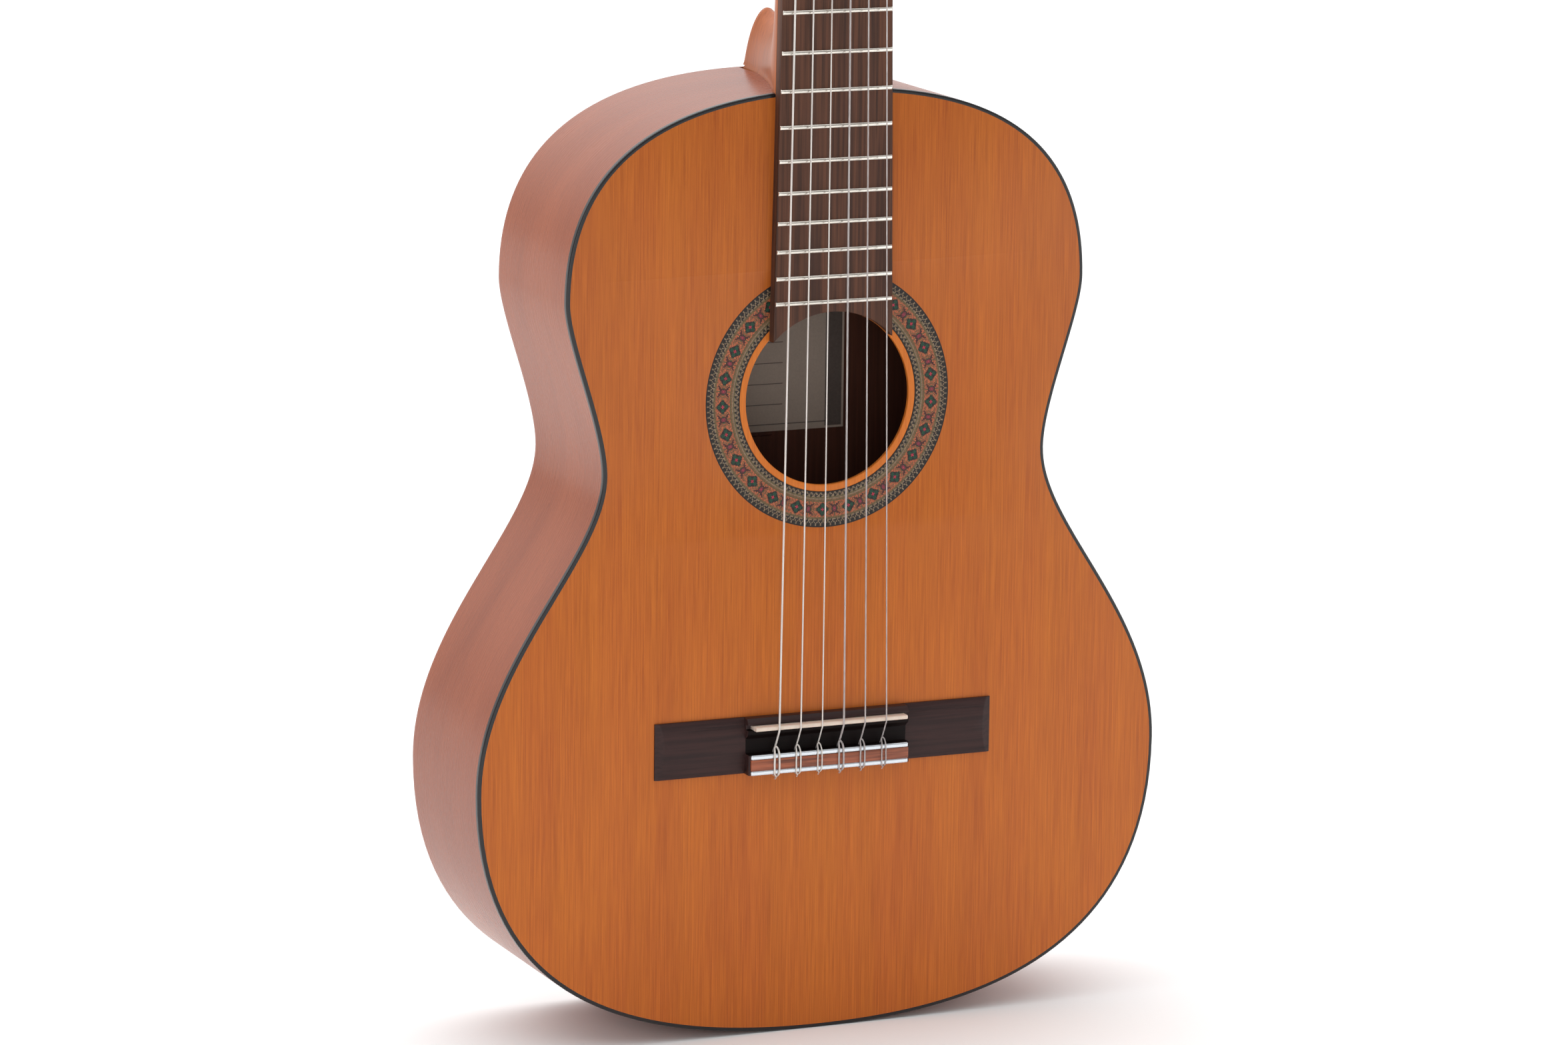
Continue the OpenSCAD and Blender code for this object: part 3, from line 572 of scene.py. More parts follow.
M = {
    "cedar": cedar("cedar_top_painted_light", (196, 109, 36), (178, 92, 29), (144, 69, 22),
                   (172, 82, 30), (188, 103, 27)),
    "cedar_edge": cedar("cedar_lip_painted_light", (212, 120, 40), (202, 110, 33), (178, 90, 27),
                        (194, 100, 32), (212, 122, 34)),
    "ribs": wood("mahogany_ribs", (156, 84, 54), (112, 52, 33), (0.05, 1, 0.05), 700, 60,
                 (0.22, 0.32), 0.22, 0.0, 0.12, 0.3, 0.8, 0.1, 0.06),
    "back": wood("mahogany_back", (160, 98, 74), (112, 62, 44), (1, 1, 0.03), 520, 40,
                 (0.3, 0.42), 0.45, 0.0, 0.35, 0.5, 0.4, 0.35, 0.1),
    # Mahogany made much darker than the back's outer face: its own unfinished wood plus painted shade for the
    # closed body.
    "shaded_inside": wood("inner_mahogany_painted_shade", (92, 52, 38), (56, 30, 22), (1, 1, 0.03), 520, 60, (0.6, 0.75), 0.3),
    "neck": wood("cedro_neck", (184, 104, 58), (138, 72, 39), (1, 1, 0.03), 620, 50,
                 (0.3, 0.4), 0.15, 0.0, 0.3, 0.4, 0.4, 0.2, 0.1),
    "board": wood("rosewood_board", (98, 61, 44), (34, 22, 19), (1, 1, 0.02), 420, 150,
                  (0.5, 0.62), 0.25, 0.0, 0.6, 0.8, 0.2, 0.3, 0.25),
    "bridge": wood("rosewood_bridge", (60, 38, 36), (30, 21, 22), (0.03, 1, 1), 420, 110,
                   (0.36, 0.48), 0.22, 0.0, 0.45, 0.7, 0.4, 0.3, 0.2),
    "tie": wood("rosewood_tie", (166, 92, 62), (78, 38, 28), (0.05, 1, 1), 520, 260,
                (0.26, 0.36), 0.4, 0.0, 0.6, 0.8, 0.2, 0.4, 0.2),
    "veneer": wood("rosewood_veneer", (78, 46, 36), (38, 23, 20), (1, 1, 0.03), 480, 70,
                   (0.28, 0.4), 0.4, 0.2, 0.5, 0.6, 0.2, 0.3, 0.15),
    "spruce": wood("bare_spruce", (206, 168, 116), (176, 132, 84), (1, 1, 0.03), 700, 60, (0.6, 0.75), 0.3),
    "lining": wood("bare_cedro", (176, 124, 82), (142, 92, 58), (1, 1, 0.05), 600, 60, (0.6, 0.75), 0.3),
    "black": plain("black_binding", (17, 15, 17), 0.24, tone=0.2, Specular_IOR_Level=0.5),
    "ebony": wood("black_wood", (34, 25, 23), (18, 13, 13), (1, 1, 0.04), 700, 60, (0.28, 0.4), 0.4),
    "bone": plain("bone", (228, 206, 190), 0.3, tone=0.04, Subsurface_Weight=0.1, Specular_IOR_Level=0.4),
    "white": plain("ivory_strip", (216, 222, 228), 0.16, 0.7, coat=0.4, tone=0.03),
    # Much darker rosewood for the slope between the tie block and the saddle: painted shade.
    "shaded_valley": wood("rosewood_valley", (22, 14, 13), (10, 7, 7), (0.03, 1, 1), 520, 90,
                   (0.4, 0.5), 0.08, 0.0, 0.35, 0.5, 0.3, 0.2, 0.1),
    "nickel": plain("nickel_silver", (222, 216, 206), 0.24, 1.0, tone=0.05, scale=900),
    "brass": plain("lacquered_brass", (214, 176, 98), 0.2, 1.0, coat=0.3, tone=0.08, scale=250),
    "gear": plain("machined_brass", (200, 162, 88), 0.3, 1.0, tone=0.1, scale=700),
    "steel": plain("plated_steel", (200, 200, 198), 0.24, 1.0, tone=0.06, scale=700),
    "roller": plain("moulded_white", (226, 219, 202), 0.35, tone=0.04),
    "pearl": pearl(),
    "wound": winding(),
    "nylon": nylon(),
    "mosaic": mosaic(),
    "paper": plain("label_paper", (186, 168, 154), 0.8, tone=0.05, scale=900, Specular_IOR_Level=0.2),
    "ink": plain("label_ink", (112, 100, 94), 0.7, Specular_IOR_Level=0.2),
    "band": plain("label_band", (104, 92, 86), 0.8, tone=0.08, scale=900, Specular_IOR_Level=0.2),
}


def dress(node, material):
    """Gives a CAD node that stays in view its material."""
    mesh = NODES[node].data
    mesh.materials.clear()
    mesh.materials.append(M[material])


# ---- Soundbox ----

def soundboard():
    outer = plate_mesh([body_loop(RIB_T), circle_loop(ROSETTE_OUT)], 0, TOP_T, 0.02, rounds=1)
    inner = plate_mesh([circle_loop(ROSETTE_IN), circle_loop(HOLE_R)], 0, TOP_T, 0.5, rounds=4)
    add_piece("soundboard", "cedar", "soundboard_wood", joined([outer, with_index(inner, 1)]),
              [M["cedar"], M["cedar_edge"]])


def back():
    half_strip = 3.0
    plate = plate_mesh([body_loop(RIB_T)], DEPTH - BACK_T, DEPTH - 0.03, 0.02, rounds=1)
    strip = block_mesh((-half_strip, DEPTH - 1, RIB_T + 0.2), (half_strip, DEPTH, BODY_LEN - RIB_T - 0.2), 0.02)
    # A thin dark sheet over the back's inner face: painted shade for the closed body.
    inner_shade_sheet = plate_mesh([body_loop(RIB_T + 5)], DEPTH - BACK_T - 0.04, DEPTH - BACK_T + 0.1, 0.01, rounds=1)
    add_piece("back_plate", "back_wood", "back_wood", joined([plate, with_index(strip, 1), with_index(inner_shade_sheet, 2)]),
              [M["back"], M["ebony"], M["shaded_inside"]])


def rib_wall(side, name):
    """The rib on one side, as a wall swept along its half of the outline."""
    outer, inner = body_loop(0), body_loop(RIB_T)
    half = len(outer) // 2
    graft_half, heel_half = 3.0, 12.0
    picks = [i for i in range(half + 1) if abs(outer[i][0]) > (graft_half if outer[i][1] < 200 else heel_half)]
    low, high = BINDING_H, DEPTH - BINDING_H

    def ring(o, i):
        return [(side * o[0], low, o[1]), (side * o[0], high, o[1]),
                (side * i[0], high, i[1]), (side * i[0], low, i[1])]

    first = ((graft_half, 0.0), (graft_half, RIB_T))
    last = ((heel_half, outer[picks[-1]][1] + 0.12), (heel_half, inner[picks[-1]][1] + 0.12))
    rings = [ring(*first)] + [ring(outer[k], inner[k]) for k in picks] + [ring(*last)]
    add_piece(name, "rib_wood", name + "_wood", skin(rings), M["ribs"])


def bindings():
    """Strips with a rounded outer corner, black round the top and mahogany round the back."""
    corner_r = 0.9
    arc = [(corner_r - corner_r * sin(a), corner_r - corner_r * cos(a)) for a in angles(0, 0.5, 5)]
    front = [(RIB_T, 0.0)] + arc + [(0.0, BINDING_H), (RIB_T, BINDING_H)]
    for name, profile, key, slot in (
            ("top_binding", front, "black", "black_binding"),
            ("back_binding", [(u, DEPTH - v) for u, v in front], "ribs", "rib_wood")):
        add_piece(name, slot, name + "_strip", edge_sweep(profile), M[key])


# The rosette is a mosaic of square-ended sticks, one colour to a tile
STICKS = {
    ".": (152, 80, 52), ",": (172, 94, 60), "t": (112, 82, 54), "o": (92, 78, 48), "k": (26, 19, 17),
    "g": (20, 60, 42), "r": (166, 44, 62), "b": (64, 34, 28), "m": (116, 44, 54), "w": (124, 104, 82),
    "d": (38, 36, 28),
}
# A green flower and a brown cross, from the band's edge to its middle
FLOWERS = (
    ".,t.,.o.,.t.,.t,.o.,t.,.",
    "o.,..dkd..,.ob,..o..,bo.",
    ".o.,kgggk,.o.bbb,o,bbb.o",
    ".,.dkgggkd.,o.bbbdbbb.o,",
    ",.kkkgggkkk,.o.bbmbb.o.,",
    "okgggkrkgggko.obmmmbo.o.",
    "okgggrrrgggko.odmrmdo.o.",
)
INNER_ROPE = ("kkkkd", "kkkww", "wkwdw", "kwwkk", "wwwkd")
OUTER_ROPE = ("wwdw", "kkkw", "wkwd", "kwkk", "dwkk", "kkkk")
INNER_LINES = ("o", "w", "t", "o")
OUTER_LINES = ("t", "o")


def flower_tile(row, column):
    """A stick of the flower band, whose outer half mirrors its inner half."""
    shift = 16
    half = len(FLOWERS) - 1
    return FLOWERS[min(row, 2 * half - row)][(column + shift) % len(FLOWERS[0])]


def repeating(rows):
    return lambda row, column: rows[row][column % len(rows[row])]


def rosette():
    columns = 600
    bands = [(ROSETTE_IN, 51.7, 5, repeating(INNER_ROPE)), (51.7, 54.2, 4, repeating(INNER_LINES)),
             (54.2, 62.0, 13, flower_tile), (62.0, 63.1, 2, repeating(OUTER_LINES)),
             (63.1, ROSETTE_OUT, 6, repeating(OUTER_ROPE))]
    radii, rules = [ROSETTE_IN], []
    for low, high, rows, rule in bands:
        for row in range(rows):
            radii.append(low + (high - low) * (row + 1) / rows)
            rules.append((row, rule))
    sections = [(r, 0.02) for r in radii] + [(r, 1.2) for r in (radii[-1], radii[0])]
    points = [(r * cos(a), depth, HOLE_Z + r * sin(a))
              for r, depth in sections for a in angles(0, 2, columns)[:-1]]
    faces, colors = [], []
    for k, (row, rule) in enumerate(rules):
        for c in range(columns):
            m = (c + 1) % columns
            faces.append((k * columns + c, k * columns + m, (k + 1) * columns + m, (k + 1) * columns + c))
            colors.append(rule(row, c))
    outer, last = len(radii) - 1, len(sections) - 1
    for c in range(columns):
        m = (c + 1) % columns
        for low, high in ((outer, outer + 1), (outer + 1, last), (last, 0)):
            faces.append((low * columns + c, low * columns + m, high * columns + m, high * columns + c))
            colors.append("k")
    mesh = bpy.data.meshes.new("rosette")
    mesh.from_pydata([tuple(place(p)) for p in points], [], faces)
    shades = random.Random(7)
    tile = mesh.attributes.new("tile", "FLOAT_COLOR", "FACE")
    values = []
    for stick in colors:
        shade = shades.uniform(0.75, 1.2)
        tint = shades.uniform(-0.08, 0.08)
        red, green, blue = (v * shade for v in srgb(*STICKS[stick])[:3])
        values += [red * (1 + tint), green, blue * (1 - tint), 1.0]
    tile.data.foreach_set("color", values)
    add_piece("rosette", "rosette_mosaic", "rosette_mosaic", mesh, M["mosaic"])


def label():
    """A paper label with a ruled border and tinted side bands, and no lettering."""
    low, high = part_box("label")
    x0, x1, z0, z1 = low.x / MM, high.x / MM, low.z / MM, high.z / MM
    face = (low.y - FRONT_Y) / MM + 0.01
    sheet = block_mesh((x0, face, z0), (x1, face + 0.28, z1), 0)
    band, margin = 9.0, 1.2
    left, right = x0 + band, x1 - band
    bands = [(x0 + margin, left, z0 + margin, z1 - margin), (right, x1 - margin, z0 + margin, z1 - margin)]
    rules = [(left, left + 1.2, z0 + margin, z1 - margin), (right - 1.6, right, z0 + margin, z1 - margin),
             (left, right, z0 + 3.4, z0 + 3.9), (left, right, z1 - 3.9, z1 - 3.4)]
    rules += [(left + 7, right - 26, z, z + 0.45) for z in (z0 + 14 + 11 * k for k in range(4))]
    printed = [with_index(block_mesh((a, face - proud, c), (b, face + 0.02, d), 0), index)
               for marks, proud, index in ((bands, 0.02, 2), (rules, 0.04, 1)) for a, b, c, d in marks]
    add_piece("label", "label_paper", "label_sheet", joined([sheet] + printed), [M["paper"], M["ink"], M["band"]])


# ---- Bridge ----

def side_profile(points, low, high, bevel=0.25, rounds=2):
    """A side view of (depth, z) carried along X, with its edges rounded."""
    def soften(bm):
        sharp = [e for e in bm.edges if len(e.link_faces) == 2 and e.calc_face_angle() > radians(25)]
        bmesh.ops.bevel(bm, geom=sharp, offset=bevel * MM, segments=rounds, profile=0.5, affect="EDGES",
                        clamp_overlap=True)

    return edited(skin([[(x, y, z) for y, z in points] for x in (low, high)]), soften)


def wing_mesh(side):
    """A wing: shallow dome across, cut off by a slanting plane at its end."""
    wing_t, edge_t, end_t, end_bevel = 3.4, 1.5, 0.8, 5.0
    across, coarse, fine = 28, 8, 16
    root, facet = BLOCK_HALF - 0.4, BRIDGE_HALF - end_bevel
    rings = []
    stations = [root + (facet - root) * i / coarse for i in range(coarse + 1)]
    stations += [BRIDGE_HALF - end_bevel * (1 - i / fine) for i in range(1, fine + 1)]
    for x in stations:
        end = max(0.0, (x - facet) / end_bevel)
        top = wing_t - 0.5 * (x - BLOCK_HALF) / (BRIDGE_HALF - BLOCK_HALF)
        ring = [(side * x, 0.0, BRIDGE_LOW), (side * x, 0.0, BRIDGE_HIGH)]
        for j in range(across + 1):
            t = 1 - j / across
            dome = edge_t + (top - edge_t) * sin(pi * t) ** 0.6
            ring.append((side * x, -min(dome, top - (top - end_t) * end),
                         BRIDGE_LOW + (BRIDGE_HIGH - BRIDGE_LOW) * t))
        rings.append(ring)
    return skin(rings)


def bridge():
    slot_half, hole_r = 1.3, 1.0
    high = BRIDGE_LOW + BLOCK_LEN
    base = [(0, BRIDGE_LOW), (0, BRIDGE_HIGH), (-5.2, BRIDGE_HIGH), (-6.9, SADDLE_Z + 2.6),
            (-7.2, SADDLE_Z + slot_half), (-4.0, SADDLE_Z + slot_half), (-4.0, SADDLE_Z - slot_half),
            (-7.2, SADDLE_Z - slot_half), (-6.9, SADDLE_Z - 3.6), (-3.6, SADDLE_Z - 6.2),
            (-3.4, high), (-BLOCK_TOP + 1.4, high), (-BLOCK_TOP + 1.4, BRIDGE_LOW)]
    middle = side_profile(base, -BLOCK_HALF, BLOCK_HALF, 0.3)
    # The faces of the slope between the tie block and the saddle take the darker rosewood: painted shade.
    for face in middle.polygons:
        if high - 0.5 < face.center.z / MM < SADDLE_Z - 1.0 and abs(face.normal.x) < 0.5:
            face.material_index = 3
    cap = block_mesh((-BLOCK_HALF + 1, -BLOCK_TOP, BRIDGE_LOW + 2.6),
                     (BLOCK_HALF - 1, -BLOCK_TOP + 1.5, high - 2.6), 0.05)
    # Black discs over the string holes on both faces of the tie block: painted shade for the dark holes.
    holes = []
    for i in range(6):
        for z in (BRIDGE_LOW - 0.05, high + 0.05):
            ring = [(string_x(i, SADDLE_PITCH) + hole_r * cos(a), TIE_HOLE_Y + hole_r * sin(a), z)
                    for a in angles(0, 2, 16)[:-1]]
            holes.append(with_index(mesh_from(ring, [tuple(range(16))]), 2))
    add_piece("bridge", "bridge_wood", "bridge_wood",
              joined([middle, wing_mesh(-1), wing_mesh(1), with_index(cap, 1)] + holes),
              [M["bridge"], M["tie"], M["black"], M["shaded_valley"]])


def saddle_and_trim():
    low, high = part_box("saddle")
    half_t = (high.z - low.z) / 2 / MM - 0.2
    foot = (high.y - FRONT_Y) / MM
    arc = [(-SADDLE_TOP + half_t * 0.9 * (1 - sin(a)), SADDLE_Z + half_t * cos(a))
           for a in angles(0, 1, 8)]
    profile = [(foot, SADDLE_Z + half_t)] + arc + [(foot, SADDLE_Z - half_t)]
    mesh = side_profile(profile[::-1], low.x / MM, high.x / MM, 0.25)
    add_piece("saddle", "bone", "saddle_bone", mesh, M["bone"])
    strips = []
    top = BRIDGE_LOW + BLOCK_LEN
    for z0, z1 in ((BRIDGE_LOW, BRIDGE_LOW + 2.6), (top - 2.6, top)):
        strips.append(block_mesh((-BLOCK_HALF + 1, -BLOCK_TOP, z0), (BLOCK_HALF - 1, -BLOCK_TOP + 1.6, z1), 0.78,
                                 rounds=5))
    add_piece("tie_block_trim", "white_trim", "tie_block_strips", joined(strips), M["white"])


# ---- Neck ----

HEEL_START_Z, HEEL_TURN, HEEL_FLOOR, HEEL_TIP = BODY_LEN + 78, 0.45, BODY_LEN - 2, 8.3


def neck_back(z):
    return NECK_T + (HEEL_START_T - NECK_T) * (NUT_Z - z) / (NUT_Z - HEEL_START_Z)


def neck_ring(edge, outer, half, fullness, steps=44):
    """A section of the neck; a small fillet flares its sides where it stands on the body."""
    flare = 1.1
    ring = []
    for i in range(steps + 1):
        a = pi * (0.5 - 0.5 * cos(pi * i / steps))
        deep = max(sin(a), 0) ** fullness
        y, z = edge[0] + (outer[0] - edge[0]) * deep, edge[1] + (outer[1] - edge[1]) * deep
        spread = flare * math.exp(-max(0.0, z - BODY_LEN) / 0.9) if edge[0] > 0 else 0.0
        ring.append((-(half + spread) * cos(a), y, z))
    return ring


def neck():
    inner_back = DEPTH - BACK_T
    curve = ((HEEL_START_T, HEEL_START_Z), (HEEL_START_T, HEEL_START_Z - 45),
             (56, BODY_LEN + HEEL_H - 9), (inner_back - HEEL_LEAN, BODY_LEN + HEEL_H))
    rings = [neck_ring((0, HEAD_Z), (NECK_T * cos(TILT), HEAD_Z - NECK_T * sin(TILT)), NUT_W / 2, 0.8)]
    shaft_rings, heel_rings = 24, 60
    start = NUT_Z - 12
    for i in range(shaft_rings):
        z = start + (HEEL_START_Z - start) * i / shaft_rings
        rings.append(neck_ring((0, z), (neck_back(z), z), board_half(z), 0.8))
    for i in range(heel_rings + 1):
        t = i / heel_rings
        down, into = min(t / HEEL_TURN, 1), max(0, (t - HEEL_TURN) / (1 - HEEL_TURN))
        z, y = HEEL_START_Z + (HEEL_FLOOR - HEEL_START_Z) * down, inner_back * into
        half = board_half(z) if into == 0 else HEEL_TIP + (JOINT_W / 2 - HEEL_TIP) * (1 - into) ** 1.6
        rings.append(neck_ring((y, z), bezier(curve, t), half, 0.8 + 0.35 * sin(pi * t) - 0.06 * t))
    add_piece("neck", "neck_wood", "neck_wood", skin(rings), M["neck"], sharp=50)
    top = [p for p in rings[-1] if p[2] > BODY_LEN - 0.2]
    middle = np.mean(top, axis=0)
    cap_rings = []
    for back, shrink in ((0.0, 1.0), (BACK_T - 0.6, 1.0), (BACK_T - 0.2, 0.985), (BACK_T, 0.95)):
        cap_rings.append([tuple(middle + (np.array(p) - middle) * shrink + (0, back, 0)) for p in top])
    add_piece("heel_cap", "neck_wood", "heel_cap_wood", skin(cap_rings), M["neck"])


def inner_blocks():
    """The neck's foot and the blocks that the soundhole shows."""
    foot = block_mesh((-32, TOP_T, BODY_LEN - 25), (32, DEPTH - BACK_T, BODY_LEN - 6), 0.3)
    toe = block_mesh((-24, DEPTH - BACK_T - 8, BODY_LEN - 51), (24, DEPTH - BACK_T, BODY_LEN - 25), 0.3)
    piece = finish_mesh("neck_foot", joined([foot, toe]), M["lining"])


def fingerboard():
    """The board ends in an arc flush with the soundhole."""
    corner = math.acos(board_half(HOLE_Z + BOARD_CORNER) / HOLE_R) / pi
    arc = [(HOLE_R * cos(a), HOLE_Z + HOLE_R * sin(a)) for a in angles(1 - corner, corner, 32)]
    loop = [(NUT_W / 2, NUT_Z), (-NUT_W / 2, NUT_Z)] + arc
    mesh = plate_mesh([loop], -BOARD_T, 0, 0.35)
    add_piece("fingerboard", "rosewood", "fingerboard_wood", mesh, M["board"])


def frets():
    """Crowned wires with bevelled, rounded ends."""
    crown_w, crown_h = 1.15, 1.1
    meshes = []
    for n in range(1, FRET_COUNT + 1):
        z, half = fret_z(n), board_half(fret_z(n)) - 0.35
        rings = []
        for x, scale in ((-half, 0.35), (-half + 0.25, 0.75), (-half + 0.7, 1.0),
                         (half - 0.7, 1.0), (half - 0.25, 0.75), (half, 0.35)):
            ring = [(x, -BOARD_T + 0.1, z + crown_w), (x, -BOARD_T + 0.1, z - crown_w)]
            ring += [(x, -BOARD_T - crown_h * scale * sin(a) ** 0.8, z - crown_w * cos(a))
                     for a in angles(0, 1, 8)]
            rings.append(ring)
        meshes.append(skin(rings))
    add_piece("frets", "fret_nickel", "fret_wires", joined(meshes), M["nickel"], sharp=60)


def nut():
    """A rounded nut, grooved where each string crosses."""
    across, rows = 104, 8
    rings = []
    for i in range(across + 1):
        x = -NUT_W / 2 + NUT_W * i / across
        groove = 0.0
        for k in range(6):
            d = abs(x - string_x(k, NUT_PITCH)) / (STRING_D[k] / 2 + 0.1)
            if d < 1:
                groove = 0.45 * math.sqrt(1 - d * d)
        ring = [(x, 0.0, NUT_Z), (x, 0.0, HEAD_Z)]
        for j in range(rows + 1):
            t = j / rows
            z = HEAD_Z - (HEAD_Z - NUT_Z) * t
            drop = 1.8 * max(0, 0.55 - t) ** 1.4
            ring.append((x, -NUT_TOP - 0.4 + groove + drop, z))
        rings.append(ring)
    add_piece("nut", "bone", "nut_bone", skin(rings), M["bone"])


# ---- Headstock ----

HEAD_CURVES = (
    ((NUT_W / 2, 0), (NUT_W / 2, 8), (HEAD_HALF - 2, 8), (HEAD_HALF, 20)),
    ((HEAD_HALF, 152), (HEAD_HALF + 1.5, 166), (24, 160), (17, 172)),
    ((17, 172), (13, 180), (8, HEAD_LEN), (0, HEAD_LEN)),
)


def head_loop():
    side = [(0, 0)]
    for curve in HEAD_CURVES:
        for i in range(17):
            p = bezier(curve, i / 16)
            if math.dist(p, side[-1]) > 0.01:
                side.append(tuple(p))
    return mirrored(side)


def slot_loop(side, grow=0.0):
    inner, outer, low, high = 8 - grow, 23 + grow, 18 - grow, 137 + grow
    r = (outer - inner) / 2
    middle = side * (inner + r)
    arc = angles(0, 1, 16)
    return ([(middle + r * cos(a), high - r + r * sin(a)) for a in arc]
            + [(middle - r * cos(a), low + r - r * sin(a)) for a in arc])


def headstock():
    wood_mesh = plate_mesh([head_loop(), slot_loop(-1), slot_loop(1)], 0, HEAD_T, 0.8, HEAD_FRAME, 4)
    add_piece("headstock", "head_wood", "headstock_wood", wood_mesh, M["neck"])
    face = plate_mesh([head_loop(), slot_loop(-1, 0.2), slot_loop(1, 0.2)], -VENEER_T, 0.4, 0.35, HEAD_FRAME, 3)
    add_piece("headstock_veneer", "veneer", "headstock_face", face, M["veneer"])


# ---- Strings ----

def roller_touch(i):
    """Where a string's centre meets its roller, as depth and height in the headstock's frame."""
    y = -NUT_TOP - STRING_D[i] / 2
    start = np.array((y * cos(TILT), y * sin(TILT)))
    centre = np.array((ROLLER_Y, roller_height(i)))
    away = start - centre
    r = ROLLER_R + STRING_D[i] / 2 + 0.1
    a = math.atan2(away[1], away[0]) - math.acos(r / np.linalg.norm(away))
    return centre + r * np.array((cos(a), sin(a)))


def side_of(i):
    return -1 if i < 3 else 1


def row_of(i):
    return i if i < 3 else 5 - i


def roller_height(i):
    return ROLLER_Z[row_of(i)]


def string_label(i):
    return str(6 - i)


def straight(start, stop, steps):
    start, stop = np.array(start), np.array(stop)
    return [start + (stop - start) * k / steps for k in range(steps + 1)]


def strings():
    for i in range(6):
        r = STRING_D[i] / 2
        x, nut_x = string_x(i, SADDLE_PITCH), string_x(i, NUT_PITCH)
        low, high = BRIDGE_LOW, BRIDGE_LOW + BLOCK_LEN
        over = -BLOCK_TOP - r
        spread = 0.72 + r
        eye = high + 3.6
        half_way = (low + high) / 2
        loop = [(x + across, over + deep, z) for across, deep, z in (
            (0.4, 3.2, low - r - 2.2), (0.1, 1.4, low - r - 0.9), (0.3 - spread, 0.5, low - 0.1),
            (-spread, 0, low + 1.6), (-spread - 0.1, 0, half_way), (-spread, 0, high - 1.0),
            (0.1 - spread, 0.5, high + 1.0), (-spread * 0.7, 1.6, eye - 0.9), (0, 2.1, eye),
            (spread * 0.7, 1.6, eye - 0.9), (spread - 0.1, 0.5, high + 1.0), (spread, 0, high - 1.0),
            (spread + 0.1, 0, half_way), (spread, 0, low + 1.6), (spread - 0.3, 0.6, low - r * 0.5),
            (spread * 0.4, 2.6, low - r - 0.7))]
        loop += [(x, TIE_HOLE_Y - 0.4, low - r - 0.3), (x, TIE_HOLE_Y, low + 1.4), (x, TIE_HOLE_Y, high - 1.6)]
        crest = -SADDLE_TOP - r
        rise = [(x, TIE_HOLE_Y - 0.9, high + 1.0), (x + 0.15, TIE_HOLE_Y - 3.4, eye + 1.4),
                (x, crest + 1.1, SADDLE_Z - 3.0), (x, crest, SADDLE_Z - 0.9), (x, crest, SADDLE_Z + 0.6)]
        touch = roller_touch(i)
        end = head_point(side_of(i) * WRAP_X[row_of(i)], *touch)
        top = [(nut_x, -NUT_TOP - r, NUT_Z + 0.5), (nut_x, -NUT_TOP - r, HEAD_Z - 1.5)]
        path = smooth_path(loop + rise, 5)
        path += straight((x, crest, SADDLE_Z + 2.5), top[0], 40)
        path += straight(top[1], end, 10)
        name = string_label(i)
        slot, material = ("wound_string", M["wound"]) if i < 3 else ("nylon_string", M["nylon"])
        add_piece("string_" + name, slot, "string_run_" + name, tube_mesh(path, r, 14), material, sharp=80)


# ---- Tuning machines ----

def tuner_plates():
    for side, name in ((-1, "bass"), (1, "treble")):
        face = side * HEAD_HALF
        loop = [(ROLLER_Y + PLATE_HALF * cos(a), end + PLATE_HALF * sin(a))
                for end, start in ((PLATE_HIGH - PLATE_HALF, 0), (PLATE_LOW + PLATE_HALF, 1))
                for a in angles(start, start + 1, 12)]
        inset = 0.35
        rings = []
        for x, shrink in ((0.0, 0.0), (PLATE_T - inset, 0.0), (PLATE_T - 0.1, 0.12), (PLATE_T, inset)):
            rings.append([(face + side * x, ROLLER_Y + (y - ROLLER_Y) * (1 - shrink / PLATE_HALF),
                           z - math.copysign(shrink, z - (PLATE_LOW + PLATE_HIGH) / 2)) for y, z in loop])
        meshes = [skin(rings, HEAD_FRAME)]
        for z in ROLLER_Z:
            for y in (ROLLER_Y - LUG_Y - LUG_T, ROLLER_Y + LUG_Y):
                meshes.append(side_block(side, (HEAD_HALF + 0.6, HEAD_HALF + 7.7), (y, y + LUG_T),
                                         (z + WORM_GAP - LUG_HALF, z + WORM_GAP + LUG_HALF), 0.45, 3))
        node = "tuner_plate_" + name
        add_piece(node, "plate_brass", node + "_brass", joined(meshes), M["brass"])


def screws():
    """Domed, slotted heads on the plates; each slot is a black bar, painted shade for the groove."""
    face = HEAD_HALF + PLATE_T
    dome = [(0, 2.0), (0.25, 1.98), (0.6, 1.7), (0.85, 1.2), (0.98, 0.5), (1.0, 0.0)]
    meshes = []
    for side in (-1, 1):
        for z in SCREW_Z:
            meshes.append(side_turned(side, dome, side * face, z, 24))
            # The slot is a black bar sunk into the dome: painted shade for the groove.
            slot = side_block(side, (face + 0.7, face + 1.02), (ROLLER_Y - 1.5, ROLLER_Y + 1.5),
                              (z - 0.22, z + 0.22))
            meshes.append(with_index(slot, 1))
    add_piece("plate_screws", "screw_brass", "plate_screw_heads", joined(meshes), [M["brass"], M["black"]])


def roller(i):
    side, z, r = side_of(i), roller_height(i), STRING_D[i] / 2
    barrel = side_turned(side, ((4.2, 4.6), (4.6, 5.0), (35.5, 5.0), (35.9, 4.7)), 0, z, 40)
    turns, per, reach = 3.4, 28, ROLLER_R + r * 0.92
    start_x = WRAP_X[row_of(i)] - (2 * r + 0.12) * 0.8
    coil = []
    for k in range(int(turns * per) + 1):
        a = 2 * pi * k / per
        x = start_x - (2 * r + 0.06) * k / per
        coil.append((side * x, ROLLER_Y - reach * cos(a), z + reach * sin(a)))
    wraps = tube_mesh(coil, r, 10, HEAD_FRAME)
    mesh = joined([barrel, with_index(wraps, 1)])
    name = string_label(i)
    add_piece("roller_" + name, "roller_white", "roller_barrel_" + name, mesh,
              [M["roller"], M["wound"] if i < 3 else M["nylon"]], "roller_set_" + name)


